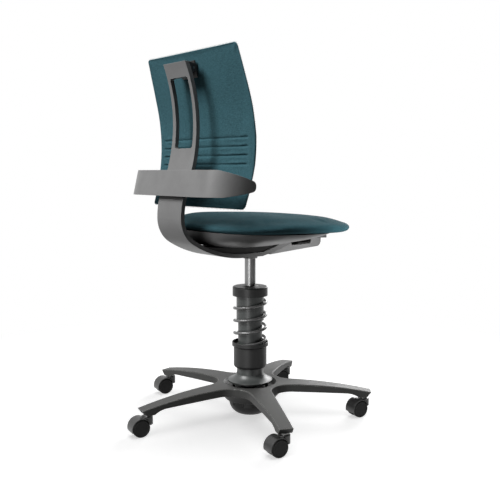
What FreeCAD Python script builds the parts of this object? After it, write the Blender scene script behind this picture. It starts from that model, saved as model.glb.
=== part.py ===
import FreeCAD, Part
import Sketcher
import math
import os

# An active office chair: a five-arm base on hooded twin-wheel casters, a column that swings, bounces
# and lifts, and a seat and back carried by one bent band. Millimetres; +Z up, the sitter faces -Y,
# and the origin is on the floor under the column.

Vector = FreeCAD.Vector
Rotation = FreeCAD.Rotation
Z_AXIS = Vector(0, 0, 1)
doc = FreeCAD.newDocument("office_chair")

SIZES = (
    ("arm_count", 5, "arms of the star base"),
    ("base_turn", 83.1, "angle of the first arm from +X, degrees"),
    ("tip_radius", 315, "column axis to the top edge of an arm's end"),
    ("tip_top", 65, "height of that edge"),
    ("tip_slant", 11, "how far the end face runs in, top to bottom"),
    ("boss_floor", 51, "underside of the arm where a caster plugs in"),
    ("boss_length", 20, "flat length of that underside"),
    ("boss_sweep", 34, "length of the curve from the boss up to the arm"),
    ("arm_tip_half", 16.5, "half width of an arm at its end"),
    ("arm_waist_half", 28.3, "half width of an arm beside the hub"),
    ("arm_waist_radius", 108, "where that is"),
    ("arm_root_under", 66, "underside of an arm at its root"),
    ("arm_waist_under", 67, "underside of an arm beside the hub"),
    ("arm_sweep_under", 61.5, "underside of an arm before its boss"),
    ("trim_margin", 10, "how far a trimming outline reaches past the material"),
    ("arm_arch", 1150, "radius of an arm's top line"),
    ("arm_flank", 3000, "radius of an arm's side in plan"),
    ("crotch", 84.5, "column axis to the hollow between two arms"),
    ("arm_bevel", 1.6, "bevel along an arm's top edges"),
    ("hub_overlap", 0.6, "how far the hub's wall stands out in that hollow"),
    ("hub_top", 86, "top of the hub and the arms' roots"),
    ("hub_lip", 20.5, "straight wall under the hub's top edge"),
    ("hub_foot", 65.5, "hub radius at its underside"),
    ("hub_sweep", 120, "radius of the hub's side"),
    ("hub_floor", 43.5, "underside of the hub"),
    ("hub_plate", 4, "thickness of the hub's bottom plate"),
    ("hub_bore", 47, "radius of the hub's hollow"),
    ("recess_radius", 69, "dished recess round the column's skirt"),
    ("recess_run", 9, "how far the recess wall runs in"),
    ("recess_depth", 11, "depth of the recess"),
    ("swing_height", 68, "height of the swing pivot"),
    ("swing_pin", 5, "radius of the swing pins"),
    ("swing_pin_reach", 57, "outer end of the hub's pins"),
    ("ring_inner", 27, "inner radius of the swing ring"),
    ("ring_outer", 40, "outer radius of the swing ring"),
    ("ring_half", 8, "half height of the swing ring"),
    ("pin_inset", 2, "swing pin's end to the ring's face"),
    ("foot_radius", 21, "radius of the column's foot in the ring"),
    ("running", 0.05, "radial clearance of a turning or sliding fit"),
    ("seated", 0.3, "gap between faces that lie on each other"),
    ("fixed", 0.02, "radial clearance of a fixed fit"),
    ("knob_radius", 54.5, "swing adjuster, outer radius"),
    ("knob_floor", 6, "its underside"),
    ("knob_flat", 36, "radius of its flat underside"),
    ("knob_wall", 10, "height of its grip"),
    ("knob_bowl", 34, "radius between that grip and the flat underside"),
    ("knob_gap", 3, "gap between the hub and the grip"),
    ("knob_spigot", 12, "radius of the spigot that carries it"),
    ("knob_grip", 5, "radius of a grip scallop"),
    ("knob_grip_offset", 3, "grip to the middle of a scallop"),
    ("knob_snap", 1.6, "how far the spigot's snap head stands out"),
    ("knob_grips", 12, "scallops round the grip"),
    ("clip_width", 4, "radial width of a retaining clip"),
    ("clip_height", 1.5, "thickness of a retaining clip"),
    ("stem_inset", 18, "top edge of an arm's end to a caster's stem"),
    ("stem_radius", 5.5, "stem in its socket"),
    ("stem_reach", 11.5, "stem above the boss's underside"),
    ("stem_spigot", 4, "radius of the stem in the hood"),
    ("stem_spigot_depth", 7, "depth of the stem in the hood"),
    ("stem_point", 1.5, "bevel at the stem's tip"),
    ("stem_collar", 8.5, "radius of the stem's collar"),
    ("caster_turn", 80, "direction in which the casters trail, degrees"),
    ("trail", 20, "stem to axle"),
    ("wheel_radius", 21.75, "caster wheel"),
    ("wheel_width", 12.5, "one caster wheel"),
    ("wheel_round", 3, "rounding of a wheel's outer edge"),
    ("wheel_inner_round", 2, "rounding of a wheel's inner edge"),
    ("wheel_disc", 1.5, "disc that closes a wheel's bore"),
    ("wheel_rim", 4.5, "width of the rim round a wheel's dished face"),
    ("wheel_dish", 0.8, "depth of that dish"),
    ("axle_radius", 3, "caster axle"),
    ("axle_inset", 2, "axle's end to a wheel's outer face"),
    ("web", 8, "plate between the two wheels"),
    ("web_foot", 12.4, "radius of the plate's rounded foot round the axle"),
    ("web_spread", 45, "half angle of that foot, degrees"),
    ("wheel_play", 0.5, "gap between the web and a wheel"),
    ("hood_gap", 1, "gap between a wheel and its hood"),
    ("hood_wall", 2, "thickness of the hood"),
    ("hood_droop", 18, "how far the hood reaches below the axle's level, degrees"),
    ("hood_front", 160, "where the hood meets the stem housing, degrees"),
    ("housing_radius", 14, "stem housing"),
    ("housing_floor", 27, "underside of the stem housing"),
    ("skirt_radius", 58, "flared skirt at its rim"),
    ("skirt_floor", 91, "underside of the skirt"),
    ("skirt_rim", 1.5, "thickness of the skirt's rim"),
    ("skirt_flare", 28, "radius of the skirt's flare"),
    ("skirt_edge", 3, "width of the skirt's rim"),
    ("skirt_ring", 2, "wall of the ring under the skirt"),
    ("skirt_ring_height", 4, "height of that ring"),
    ("skirt_throat", 5, "straight bore of the skirt"),
    ("foot_shoulder", 2, "shoulder of the foot above the skirt's seam"),
    ("foot_collar", 4, "collar of the foot below that seam"),
    ("foot_taper", 6, "height over which the foot widens"),
    ("neck_radius", 34.5, "plain neck above the skirt"),
    ("neck_floor", 108, "seam between skirt and neck"),
    ("neck_top", 125, "seam between neck and cup"),
    ("cup_radius", 43, "spring cup"),
    ("cup_round", 8, "rounding under the cup"),
    ("cup_rim", 47.3, "rim of the cup"),
    ("cup_rim_height", 10, "height of the rim"),
    ("cup_flare", 3, "height over which the cup widens to its rim"),
    ("cup_bevel", 0.8, "bevel on the rim's outer edge"),
    ("cup_lip", 1.6, "thickness of the rim round the spring"),
    ("cup_top", 193, "top of the cup's rim"),
    ("spring_seat", 184, "where the spring stands in the cup"),
    ("guide_outer", 31.5, "guide tube, outer radius"),
    ("guide_inner", 25.4, "guide tube, inner radius"),
    ("guide_top", 280, "top of the guide tube"),
    ("plug_depth", 12, "foot's plug in the guide tube"),
    ("sleeve_outer", 35.5, "sliding sleeve, outer radius"),
    ("sleeve_inner", 33.4, "sliding sleeve, inner radius"),
    ("sleeve_floor", 250, "lower end of the sleeve"),
    ("bush_inset", 1, "sleeve's end to its bush"),
    ("bush_height", 42, "length of the sleeve's bush"),
    ("cap_radius", 45.5, "cap over the spring"),
    ("cap_floor", 314.5, "underside of the cap"),
    ("cap_top", 338.5, "top edge of the cap"),
    ("cap_round", 3.5, "rounding of the cap's edge"),
    ("cap_cone", 8, "width of the cone round the lift"),
    ("cap_cone_rise", 2, "height of that cone"),
    ("mouth_gap", 0.6, "gap round the lift in the cap's mouth"),
    ("cap_recess", 14, "hollow under the cap round the guide tube"),
    ("gas_tube_outer", 25, "standing tube of the gas lift"),
    ("gas_tube_wall", 2.5, "its wall"),
    ("gas_tube_floor", 176, "its lower end"),
    ("gas_tube_plate", 4, "its bottom plate"),
    ("gas_tube_depth", 16, "how far it enters the cap"),
    ("lift_bush_height", 35, "guide bush of the lift"),
    ("lift_radius", 14, "moving cylinder of the gas lift"),
    ("lift_wall", 1.5, "its wall"),
    ("lift_floor", 255, "its lower end"),
    ("lift_top", 444, "its upper end, in the seat's socket"),
    ("lift_plug", 10, "its end plugs"),
    ("rod_radius", 5, "piston rod"),
    ("rod_floor", 170, "its lower end"),
    ("rod_shoulder", 8, "radius of its shoulder on the bearing"),
    ("rod_shoulder_height", 4.5, "height of that shoulder"),
    ("piston_top", 354, "top of the piston"),
    ("piston_height", 8, "height of the piston"),
    ("bearing_radius", 13, "thrust bearing"),
    ("bearing_height", 5, "its height"),
    ("pin_radius", 3, "release pin of the gas lift"),
    ("pin_floor", 428, "its lower end"),
    ("pin_dome", 6, "radius of its domed top"),
    ("wire", 7.5, "spring wire, diameter"),
    ("coil_radius", 40.8, "spring, axis to the wire's middle"),
    ("coil_turns", 3.75, "turns between the two ends"),
    ("coil_start", 107, "angle at which the wire leaves the cup, degrees"),
    ("band_width", 100, "bent band that carries seat and back"),
    ("band_wall", 10, "its thickness"),
    ("head_width", 89, "its width at the top of the upright"),
    ("taper_floor", 650, "where the upright starts to narrow"),
    ("band_floor", 421, "its underside at the column"),
    ("sole_start", 61.5, "column axis to where it starts to rise behind"),
    ("band_rear", 249, "column axis to its rearmost point"),
    ("band_rear_height", 523, "height of that point"),
    ("band_bend", 70, "outer radius of the bend up behind the seat"),
    ("upright_arch", 360, "outer radius of the upright's hollow"),
    ("upright_waist", 202, "column axis to the upright at its waist"),
    ("upright_waist_height", 745, "height of the waist"),
    ("upright_top", 884.5, "top of the upright"),
    ("window_width", 71, "slot in the upright"),
    ("window_floor", 688, "lower end of the slot"),
    ("window_top", 851, "upper end of the slot"),
    ("window_round", 6, "corner radius of the slot"),
    ("prop_reach", 114, "column axis to the front edge of the band's prop"),
    ("prop_length", 30, "length of the prop's top under the pan"),
    ("prop_knee", 42, "column axis to the prop's knee"),
    ("prop_rise", 9, "how far the prop's underside has risen at its knee"),
    ("prop_wall", 12, "thickness of the prop at its knee"),
    ("prop_arch", 90, "radius of the prop's upper side"),
    ("prop_hollow", 30, "radius of its front side"),
    ("prop_toe", 17, "length of its front side"),
    ("prop_toe_rise", 4, "lower end of its front side above the bay's floor"),
    ("plate_reach", 238, "column axis to the front edge of the band's plate"),
    ("plate_under", 460, "underside of that plate at the prop"),
    ("plate_drop", 4, "how far it falls from the prop to the carrier's front"),
    ("plate_wall", 9, "thickness of the plate"),
    ("plate_nose", 4, "rounding of its front edge"),
    ("plate_corner", 14, "plan radius of its front corners"),
    ("socket_radius", 19, "socket for the gas lift"),
    ("socket_floor", 412, "lower end of the socket"),
    ("socket_top", 443, "upper end of the socket"),
    ("carrier_reach", 207, "column axis to the carrier's front end"),
    ("carrier_start", 26, "column axis to the carrier's rear end"),
    ("carrier_floor", 423.5, "its underside at the rear"),
    ("carrier_rise", 10.5, "how far its underside rises to the front"),
    ("carrier_nose", 15, "radius of its front end"),
    ("carrier_post", 38, "length of its front post"),
    ("bay_floor", 442.5, "floor of the lever's bay"),
    ("bay_slope", 5, "length of the slope down to that floor"),
    ("bay_round", 6, "radius in the bay's front corner"),
    ("cover_half", 46, "half width of the cover over the lift's release"),
    ("cover_side", 4, "thickness of its side walls"),
    ("cover_rear", 165, "column axis to its rear end"),
    ("cover_rear_rise", 5, "how far its top rises behind the pan's floor"),
    ("cover_bay", 84, "column axis to its closed rear part"),
    ("lever_side", -16, "lever shaft, across from the column axis"),
    ("lever_rise", 7, "socket's top to the lever's shaft"),
    ("lever_shaft", 3.5, "radius of the shaft"),
    ("lever_reach", 64, "column's plane to the paddle's edge"),
    ("paddle_front", 160, "column axis to the paddle's front edge"),
    ("paddle_length", 46, "length of the paddle"),
    ("paddle_wall", 4, "thickness of the paddle"),
    ("paddle_round", 8, "corner radius of the paddle"),
    ("paddle_drop", 5, "shaft's middle to the paddle's underside"),
    ("rocker_length", 22, "arm over the release pin"),
    ("rocker_width", 14, "width of that arm"),
    ("pan_floor", 449, "underside of the seat pan"),
    ("pan_depth", 36.5, "height of the seat pan over the column"),
    ("pan_wall", 4, "thickness of the pan"),
    ("seat_slope", 2, "forward slope of the seat, degrees"),
    ("seat_half", 225, "half width of the seat"),
    ("seat_front", 245, "column axis to the front edge"),
    ("seat_rear", 190, "column axis to the rear edge"),
    ("seat_front_round", 180, "plan radius of the front corners"),
    ("seat_rear_round", 130, "plan radius of the rear corners"),
    ("seat_thick", 41, "cushion, underside to crown"),
    ("round_share", 0.75, "share of an inset by which the seat's corners tighten"),
    ("pan_flat_half", 70, "half width of the pan's flat floor"),
    ("pan_flat_round", 55, "plan radius of that floor's corners"),
    ("pan_flat_front", 20, "column axis to that floor's front"),
    ("pan_flat_rear", 110, "column axis to its rear"),
    ("pan_side_full", 2, "fullness of the pan's sides"),
    ("pan_front_full", 1.3, "fullness of its front"),
    ("pan_rear_full", 3.4, "fullness of its rear"),
    ("pan_steps", 4, "spans of the pan's loft"),
    ("pan_front_inset", 55, "cushion's front edge to the pan's front"),
    ("pan_rear_inset", 4, "cushion's rear edge to the pan's rear"),
    ("hatch_margin", 6, "room round the lever in the pan's floor"),
    ("seat_nose", 15, "cushion's underside to its widest line"),
    ("seat_tuck", 16, "how far the cushion is drawn in under its edge"),
    ("seat_edge", 14, "how far the rounding over that line runs in"),
    ("seat_edge_rise", 14, "height of that rounding"),
    ("seat_crown", 160, "cushion's edge to the flat of its crown"),
    ("seat_steps", 4, "spans of each part of the cushion's side line"),
    ("seat_lip", 18, "how far the pan stands in from the cushion's edge"),
    ("yoke_floor", 577, "lower edge of the cross yoke"),
    ("yoke_height", 60.5, "height of the yoke"),
    ("yoke_rear", 256.5, "column axis to the yoke's back, at its lower edge"),
    ("yoke_lean", 15, "how far its upper edge stands forward"),
    ("yoke_wall", 10, "thickness of the yoke"),
    ("yoke_bend", 84, "outer radius of its bends"),
    ("yoke_half", 207, "half width over its wings"),
    ("yoke_tip", 155, "column axis to the wings' ends"),
    ("wing_floor", 588, "lower edge of a wing's end"),
    ("wing_top", 613.5, "upper edge of a wing's end"),
    ("wing_round", 10, "rounded length and height at a wing's end"),
    ("wing_bow", 12, "radius of that rounding"),
    ("wing_start", 232, "column axis to where a wing's taper starts"),
    ("spacer_half", 30, "half width of the spacer behind the band"),
    ("spacer_floor", 600, "lower edge of the spacer"),
    ("spacer_top", 632, "upper edge of the spacer"),
    ("panel_top", 915, "top edge of the back panel"),
    ("panel_floor", 548, "lower edge of the back panel"),
    ("panel_half", 190.5, "half width of the panel at the loins"),
    ("panel_top_half", 180, "half width at the top edge"),
    ("panel_wall", 20, "thickness of the panel"),
    ("cover_wall", 8, "rear share of that thickness"),
    ("panel_rim", 9, "thickness at the panel's edges"),
    ("loin_height", 701, "height of the loins"),
    ("loin_rear", 146, "column axis to the panel's rear edge at the loins"),
    ("loin_arch", 395, "side radius of the panel above the loins"),
    ("loin_run", 110, "height over which that radius runs"),
    ("loin_bow", 410, "side radius of the panel below the loins"),
    ("panel_hollow", 12, "how far the panel is hollow across, at the loins"),
    ("panel_top_hollow", 4, "the same at the top edge"),
    ("panel_floor_hollow", 9, "the same at the lower edge"),
    ("panel_floor_half", 186, "half width at the lower edge"),
    ("panel_round", 10, "corner radius of the panel"),
    ("panel_sections", 8, "spans of the panel's lofts between its corners"),
    ("edge_nose", 1.6, "how far the panel's side edges stand out"),
    ("seam_share", 0.45, "rear cover's share of the panel's rim"),
    ("channels", 4, "sewn channels across the loins"),
    ("channel_top", 711, "height of the highest channel"),
    ("channel_pitch", 20.3, "channel to channel"),
    ("channel_radius", 2.6, "radius of a channel"),
    ("channel_margin", 22, "channel's end to the panel's edge"),
    ("rock_height", 872, "height of the back's rocking pin"),
    ("rock_depth", 203, "column axis to that pin"),
    ("rock_pin", 3, "radius of the pin"),
    ("head_half", 43, "half width of the head block"),
    ("head_nose", 9, "radius of the head block round the pin"),
    ("head_floor", 858, "lower edge of the head block on the upright"),
    ("head_top", 884, "its upper edge there"),
    ("rock_pin_inset", 2, "pin's end to the block's side"),
    ("lug_half", 12, "half width of the bracket's lug"),
    ("lug_round", 8, "radius of the lug round the pin"),
    ("lug_play", 0.5, "gap behind the lug in the block"),
    ("bracket_plate", 3.5, "thickness of the bracket's plate"),
    ("bracket_half", 30, "half width of that plate"),
    ("bracket_margin", 6, "how far it reaches above and below the block"),
)


class Size:
    """A number with the formula that gives it, so that a shape drawn from it stays bound to the sheet."""

    def __init__(self, value, text):
        self.value = float(value)
        self.text = text

    def join(self, sign, other, value):
        return Size(value, "(%s %s %s)" % (self.text, sign, other.text))

    def __add__(self, other):
        other = size(other)
        return self.join("+", other, self.value + other.value)

    def __sub__(self, other):
        other = size(other)
        return self.join("-", other, self.value - other.value)

    def __mul__(self, other):
        other = size(other)
        return self.join("*", other, self.value * other.value)

    def __truediv__(self, other):
        other = size(other)
        return self.join("/", other, self.value / other.value)

    def __radd__(self, other):
        return size(other) + self

    def __rsub__(self, other):
        return size(other) - self

    def __rmul__(self, other):
        return size(other) * self

    def __neg__(self):
        return Size(-self.value, "(0 - %s)" % self.text)


def size(number):
    return number if isinstance(number, Size) else Size(number, "%.9g" % number)


def root(number):
    return Size(math.sqrt(number.value), "sqrt(%s)" % number.text)


class Sizes:
    """The sheet's cells by name: every driving dimension as a Size."""

    def __init__(self, table):
        sheet = doc.addObject("Spreadsheet::Sheet", "Sizes")
        for row, (name, value, note) in enumerate(table, 1):
            sheet.set("A%d" % row, str(value))
            sheet.setAlias("A%d" % row, name)
            sheet.set("B%d" % row, note)
            setattr(self, name, Size(value, "Sizes.%s" % name))
        doc.recompute()


S = Sizes(SIZES)


def turned(angle, x=0.0, y=0.0, z=0.0):
    """A placement turned about Z, then moved."""
    return FreeCAD.Placement(Vector(x, y, z), Rotation(Z_AXIS, angle))


PIECES = []


def new_body(label):
    body = doc.addObject("PartDesign::Body", label)
    body.Label = label
    PIECES.append(body)
    return body


def new_sketch(body, role, height=0):
    """A sketch on one of the body's origin planes, moved along the plane's normal."""
    sketch = body.newObject("Sketcher::SketchObject", "%s_sketch" % body.Label)
    plane = [feature for feature in body.Origin.OriginFeatures if feature.Role == role][0]
    sketch.AttachmentSupport = [(plane, "")]
    sketch.MapMode = "FlatFace"
    if height:
        height = size(height)
        sketch.AttachmentOffset = FreeCAD.Placement(Vector(0, 0, height.value), Rotation())
        sketch.setExpression("AttachmentOffset.Base.z", height.text)
    return sketch


def bind(sketch, kind, *where):
    """Adds a dimension whose value follows the sheet."""
    value = where[-1]
    index = sketch.addConstraint(Sketcher.Constraint(kind, *where[:-1], value.value))
    sketch.setExpression("Constraints[%d]" % index, value.text)


def arc_between(start, end, radius):
    """The arc of under half a turn from start to end; a positive radius runs anticlockwise."""
    side = 1 if radius > 0 else -1
    radius = abs(radius)
    chord = end - start
    offset = math.sqrt(max(radius ** 2 - (chord.Length / 2) ** 2, 0))
    normal = Vector(-chord.y, chord.x, 0).normalize()
    centre = (start + end) * 0.5 + normal * (offset * side)
    first, last = (start, end) if side > 0 else (end, start)
    first_angle = math.atan2(first.y - centre.y, first.x - centre.x)
    last_angle = math.atan2(last.y - centre.y, last.x - centre.x)
    circle = Part.Circle(centre, Z_AXIS, radius)
    return Part.ArcOfCircle(circle, first_angle, last_angle)


def outline(sketch, points):
    """A closed outline of points (x, y), each with a third value where an arc of that radius leads to it."""
    points = [tuple(size(number) for number in point) for point in points]
    count = len(points)
    first = sketch.GeometryCount
    starts = []
    for index, point in enumerate(points):
        target = points[(index + 1) % count]
        here = Vector(point[0].value, point[1].value, 0)
        there = Vector(target[0].value, target[1].value, 0)
        if len(target) == 3:
            sketch.addGeometry(arc_between(here, there, target[2].value), False)
            starts.append(1 if target[2].value > 0 else 2)
        else:
            sketch.addGeometry(Part.LineSegment(here, there), False)
            starts.append(1)
    for index, point in enumerate(points):
        before = (index - 1) % count
        edge = first + index
        joined = Sketcher.Constraint("Coincident", first + before, 3 - starts[before], edge, starts[index])
        sketch.addConstraint(joined)
        bind(sketch, "DistanceX", -1, 1, edge, starts[index], point[0])
        bind(sketch, "DistanceY", -1, 1, edge, starts[index], point[1])
        target = points[(index + 1) % count]
        if len(target) == 3:
            radius = target[2] if target[2].value > 0 else -target[2]
            bind(sketch, "Radius", edge, radius)


def circle(sketch, x, y, radius):
    x, y, radius = size(x), size(y), size(radius)
    index = sketch.addGeometry(Part.Circle(Vector(x.value, y.value, 0), Z_AXIS, radius.value), False)
    bind(sketch, "DistanceX", -1, 1, index, 3, x)
    bind(sketch, "DistanceY", -1, 1, index, 3, y)
    bind(sketch, "Radius", index, radius)


def extrude(body, kind, sketch, length, both=False, reverse=False):
    """A Pad or a Pocket of the sketch, to one side or evenly to both."""
    feature = body.newObject("PartDesign::%s" % kind, "%s_%s" % (body.Label, kind.lower()))
    feature.Profile = sketch
    feature.SideType = "Symmetric" if both else "One side"
    feature.Reversed = reverse
    feature.setExpression("Length", size(length).text)
    doc.recompute()
    return feature


def cut_through(body, sketch):
    """A Pocket through everything, both ways."""
    feature = body.newObject("PartDesign::Pocket", "%s_cut" % body.Label)
    feature.Profile = sketch
    feature.SideType = "Symmetric"
    feature.Type = "ThroughAll"
    doc.recompute()
    return feature


def repeat_round(body, features, count, whole=False):
    """Copies features, or the whole body, evenly round Z."""
    pattern = body.newObject("PartDesign::PolarPattern", "%s_round" % body.Label)
    pattern.Originals = features
    pattern.TransformMode = "Whole shape" if whole else "Features"
    axis = [feature for feature in body.Origin.OriginFeatures if feature.Role == "Z_Axis"][0]
    pattern.Axis = (axis, [""])
    pattern.Angle = 360
    pattern.setExpression("Occurrences", count.text)
    body.Tip = pattern
    doc.recompute()
    return pattern


def spin(body, points):
    """A full Revolution about Z of an outline of (radius, height)."""
    sketch = new_sketch(body, "XZ_Plane")
    outline(sketch, points)
    feature = body.newObject("PartDesign::Revolution", "%s_revolution" % body.Label)
    feature.Profile = sketch
    feature.ReferenceAxis = (sketch, ["V_Axis"])
    feature.Angle = 360
    doc.recompute()
    return feature


def turned_piece(label, points, placement=None):
    body = new_body(label)
    spin(body, points)
    if placement is not None:
        body.Placement = placement
    return body


def ring(label, inner, outer, floor, top):
    return turned_piece(label, [(inner, floor), (outer, floor), (outer, top), (inner, top)])


def profile_piece(label, points, width, middle=0):
    """A side profile of (y, z), padded evenly across X about a middle plane."""
    body = new_body(label)
    sketch = new_sketch(body, "YZ_Plane", middle)
    outline(sketch, points)
    extrude(body, "Pad", sketch, width, both=True)
    return body


def pin(label, radius, length, start, way):
    """A plain pin from a start point along a direction."""
    feature = doc.addObject("Part::Cylinder", label)
    feature.Label = label
    feature.setExpression("Radius", radius.text)
    feature.setExpression("Height", length.text)
    feature.Placement = FreeCAD.Placement(start, Rotation(Z_AXIS, way))
    PIECES.append(feature)


def shape_piece(label, shape):
    """A free form made with Part's functions."""
    feature = doc.addObject("Part::Feature", label)
    feature.Label = label
    feature.Shape = shape
    PIECES.append(feature)
    return feature


# Star base

BASE_ANGLE = S.base_turn.value
BASE_PLACE = turned(BASE_ANGLE)
HALF_TURN = math.radians(180 / S.arm_count.value)
CROTCH_REACH = S.crotch * math.cos(HALF_TURN)
CROTCH_HALF = S.crotch * math.sin(HALF_TURN)
STEM_CIRCLE = S.tip_radius - S.stem_inset


def arm_side_profile():
    boss_outer = S.tip_radius - S.tip_slant
    boss_inner = boss_outer - S.boss_length
    sweep_end = boss_inner - S.boss_sweep
    rise = S.arm_sweep_under - S.boss_floor
    sweep = (S.boss_sweep * S.boss_sweep + rise * rise) / (2 * rise)
    return [(CROTCH_REACH, S.hub_top), (S.tip_radius, S.tip_top, -S.arm_arch), (boss_outer, S.boss_floor),
            (boss_inner, S.boss_floor), (sweep_end, S.arm_sweep_under, sweep),
            (S.arm_waist_radius, S.arm_waist_under), (CROTCH_REACH, S.arm_root_under)]


def arm_trim(side):
    """The material beside one side of an arm, in plan; the flare's middle lies midway between two arms."""
    beyond = S.tip_radius + S.trim_margin
    margin = (CROTCH_HALF + S.trim_margin) * side
    waist, half = S.arm_waist_radius, S.arm_waist_half
    toward = waist * math.cos(HALF_TURN) + half * math.sin(HALF_TURN)
    middle = (waist * waist + half * half - S.crotch * S.crotch) / (2 * (toward - S.crotch))
    flare = (middle - S.crotch) * side
    flank = S.arm_flank * side
    return [(CROTCH_REACH, CROTCH_HALF * side), (waist, half * side, flare),
            (beyond, S.arm_tip_half * side, flank), (beyond, margin), (CROTCH_REACH, margin)]


def star_base():
    body = new_body("star_base")
    side = new_sketch(body, "XZ_Plane")
    outline(side, arm_side_profile())
    extrude(body, "Pad", side, CROTCH_HALF * 2 + S.trim_margin, both=True)
    plan = new_sketch(body, "XY_Plane")
    outline(plan, arm_trim(1))
    outline(plan, arm_trim(-1))
    trim = cut_through(body, plan)
    flanks = []
    for index, edge in enumerate(trim.Shape.Edges, 1):
        middle = edge.valueAt((edge.FirstParameter + edge.LastParameter) / 2)
        long_edge = edge.Length > S.arm_waist_radius.value
        if long_edge and abs(middle.y) > S.arm_tip_half.value / 2 and middle.z > S.tip_top.value:
            flanks.append("Edge%d" % index)
    bevel = body.newObject("PartDesign::Chamfer", "star_base_bevel")
    bevel.Base = (trim, flanks)
    bevel.setExpression("Size", S.arm_bevel.text)
    doc.recompute()
    socket = new_sketch(body, "XY_Plane", S.boss_floor)
    circle(socket, STEM_CIRCLE, 0, S.stem_radius + S.running)
    hole = extrude(body, "Pocket", socket, S.stem_reach + S.seated, reverse=True)
    repeat_round(body, [hole], S.arm_count, whole=True)
    plate_top = S.hub_floor + S.hub_plate
    recess_floor = S.hub_top - S.recess_depth
    hub_rim = S.crotch + S.hub_overlap
    spin(body, [(S.knob_spigot + S.running, S.hub_floor), (S.hub_foot, S.hub_floor),
                (hub_rim, S.hub_top - S.hub_lip, -S.hub_sweep), (hub_rim, S.hub_top),
                (S.recess_radius, S.hub_top), (S.recess_radius - S.recess_run, recess_floor),
                (S.hub_bore, recess_floor), (S.hub_bore, plate_top), (S.knob_spigot + S.running, plate_top)])
    pins = new_sketch(body, "XZ_Plane")
    circle(pins, 0, S.swing_height, S.swing_pin + S.fixed)
    extrude(body, "Pocket", pins, S.swing_pin_reach * 2, both=True)
    body.Placement = BASE_PLACE


def swing_joint():
    """The hub's pins, the ring that swings on them, and the foot's pins in that ring."""
    floor = S.swing_height - S.ring_half
    top = S.swing_height + S.ring_half
    level = Vector(0, 0, S.swing_height.value)
    across_arm = Rotation(Z_AXIS, BASE_ANGLE + 90).multVec(Vector(1, 0, 0))
    along_arm = Rotation(Z_AXIS, BASE_ANGLE).multVec(Vector(1, 0, 0))
    hub_pin_start = S.ring_inner + S.pin_inset
    hub_pin = S.swing_pin_reach - hub_pin_start
    for label, way in (("hub_pin_left", -across_arm), ("hub_pin_right", across_arm)):
        pin(label, S.swing_pin, hub_pin, level + way * hub_pin_start.value, way)
    foot_pin = S.ring_outer - S.pin_inset
    pin("foot_pin", S.swing_pin, foot_pin * 2, level - along_arm * foot_pin.value, along_arm)
    body = new_body("swing_ring")
    spin(body, [(S.ring_inner, floor), (S.ring_outer, floor), (S.ring_outer, top), (S.ring_inner, top)])
    for plane in ("XZ_Plane", "YZ_Plane"):
        bores = new_sketch(body, plane)
        circle(bores, 0, S.swing_height, S.swing_pin + S.running)
        cut_through(body, bores)
    body.Placement = BASE_PLACE


def swing_adjuster():
    """The bowl-shaped hand wheel under the hub, snapped into the hub's bottom plate."""
    body = new_body("swing_adjuster")
    top = S.hub_floor - S.knob_gap
    grip_floor = top - S.knob_wall
    snap_floor = S.hub_floor + S.hub_plate + S.seated
    snap_top = snap_floor + S.knob_snap
    spin(body, [(0, S.knob_floor), (S.knob_flat, S.knob_floor), (S.knob_radius, grip_floor, S.knob_bowl),
                (S.knob_radius, top), (S.knob_spigot, top), (S.knob_spigot, snap_floor),
                (S.knob_spigot + S.knob_snap, snap_floor), (S.knob_spigot, snap_top), (0, snap_top)])
    scallop = new_sketch(body, "XY_Plane", top)
    circle(scallop, S.knob_radius + S.knob_grip_offset, 0, S.knob_grip)
    grip = extrude(body, "Pocket", scallop, S.knob_wall)
    repeat_round(body, [grip], S.knob_grips)


# Casters

def hood_point(radius, angle):
    """A point of the hood's side view, round the axle."""
    x = S.trail + radius * math.cos(math.radians(angle))
    z = S.wheel_radius + radius * math.sin(math.radians(angle))
    return x, z


def caster_hood(label, place):
    """Hood over both wheels, the web between them, and the housing round the stem, in one moulding."""
    body = new_body(label)
    inner = S.wheel_radius + S.hood_gap
    outer = inner + S.hood_wall
    droop = -S.hood_droop.value
    front = S.hood_front.value
    middle = (droop + front) / 2
    shell = new_sketch(body, "XZ_Plane")
    outline(shell, [
        hood_point(outer, droop), hood_point(outer, middle) + (outer,), hood_point(outer, front) + (outer,),
        hood_point(inner, front), hood_point(inner, middle) + (-inner,), hood_point(inner, droop) + (-inner,)])
    half = S.web / 2 + S.wheel_play + S.wheel_width
    extrude(body, "Pad", shell, half * 2, both=True)
    housing_top = S.wheel_radius + outer
    housing = new_sketch(body, "XY_Plane", S.housing_floor)
    circle(housing, 0, 0, S.housing_radius)
    extrude(body, "Pad", housing, housing_top - S.housing_floor)
    for side in (1, -1):
        arch = new_sketch(body, "XZ_Plane", S.web / 2 * side)
        circle(arch, S.trail, S.wheel_radius, inner)
        extrude(body, "Pocket", arch, S.wheel_width * 2, reverse=side > 0)
    web = new_sketch(body, "XZ_Plane")
    overlap = inner + S.hood_wall / 2
    foot = S.web_foot
    spread = S.web_spread.value
    outline(web, [hood_point(overlap, droop), hood_point(overlap, middle) + (overlap,),
                  hood_point(overlap, front) + (overlap,), hood_point(foot, 270 - spread),
                  hood_point(foot, 270 + spread) + (foot,)])
    extrude(body, "Pad", web, S.web, both=True)
    bore = new_sketch(body, "XY_Plane", housing_top)
    circle(bore, 0, 0, S.stem_spigot + S.fixed)
    extrude(body, "Pocket", bore, S.stem_spigot_depth)
    axle = new_sketch(body, "XZ_Plane")
    circle(axle, S.trail, S.wheel_radius, S.axle_radius + S.fixed)
    cut_through(body, axle)
    body.Placement = place


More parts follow.
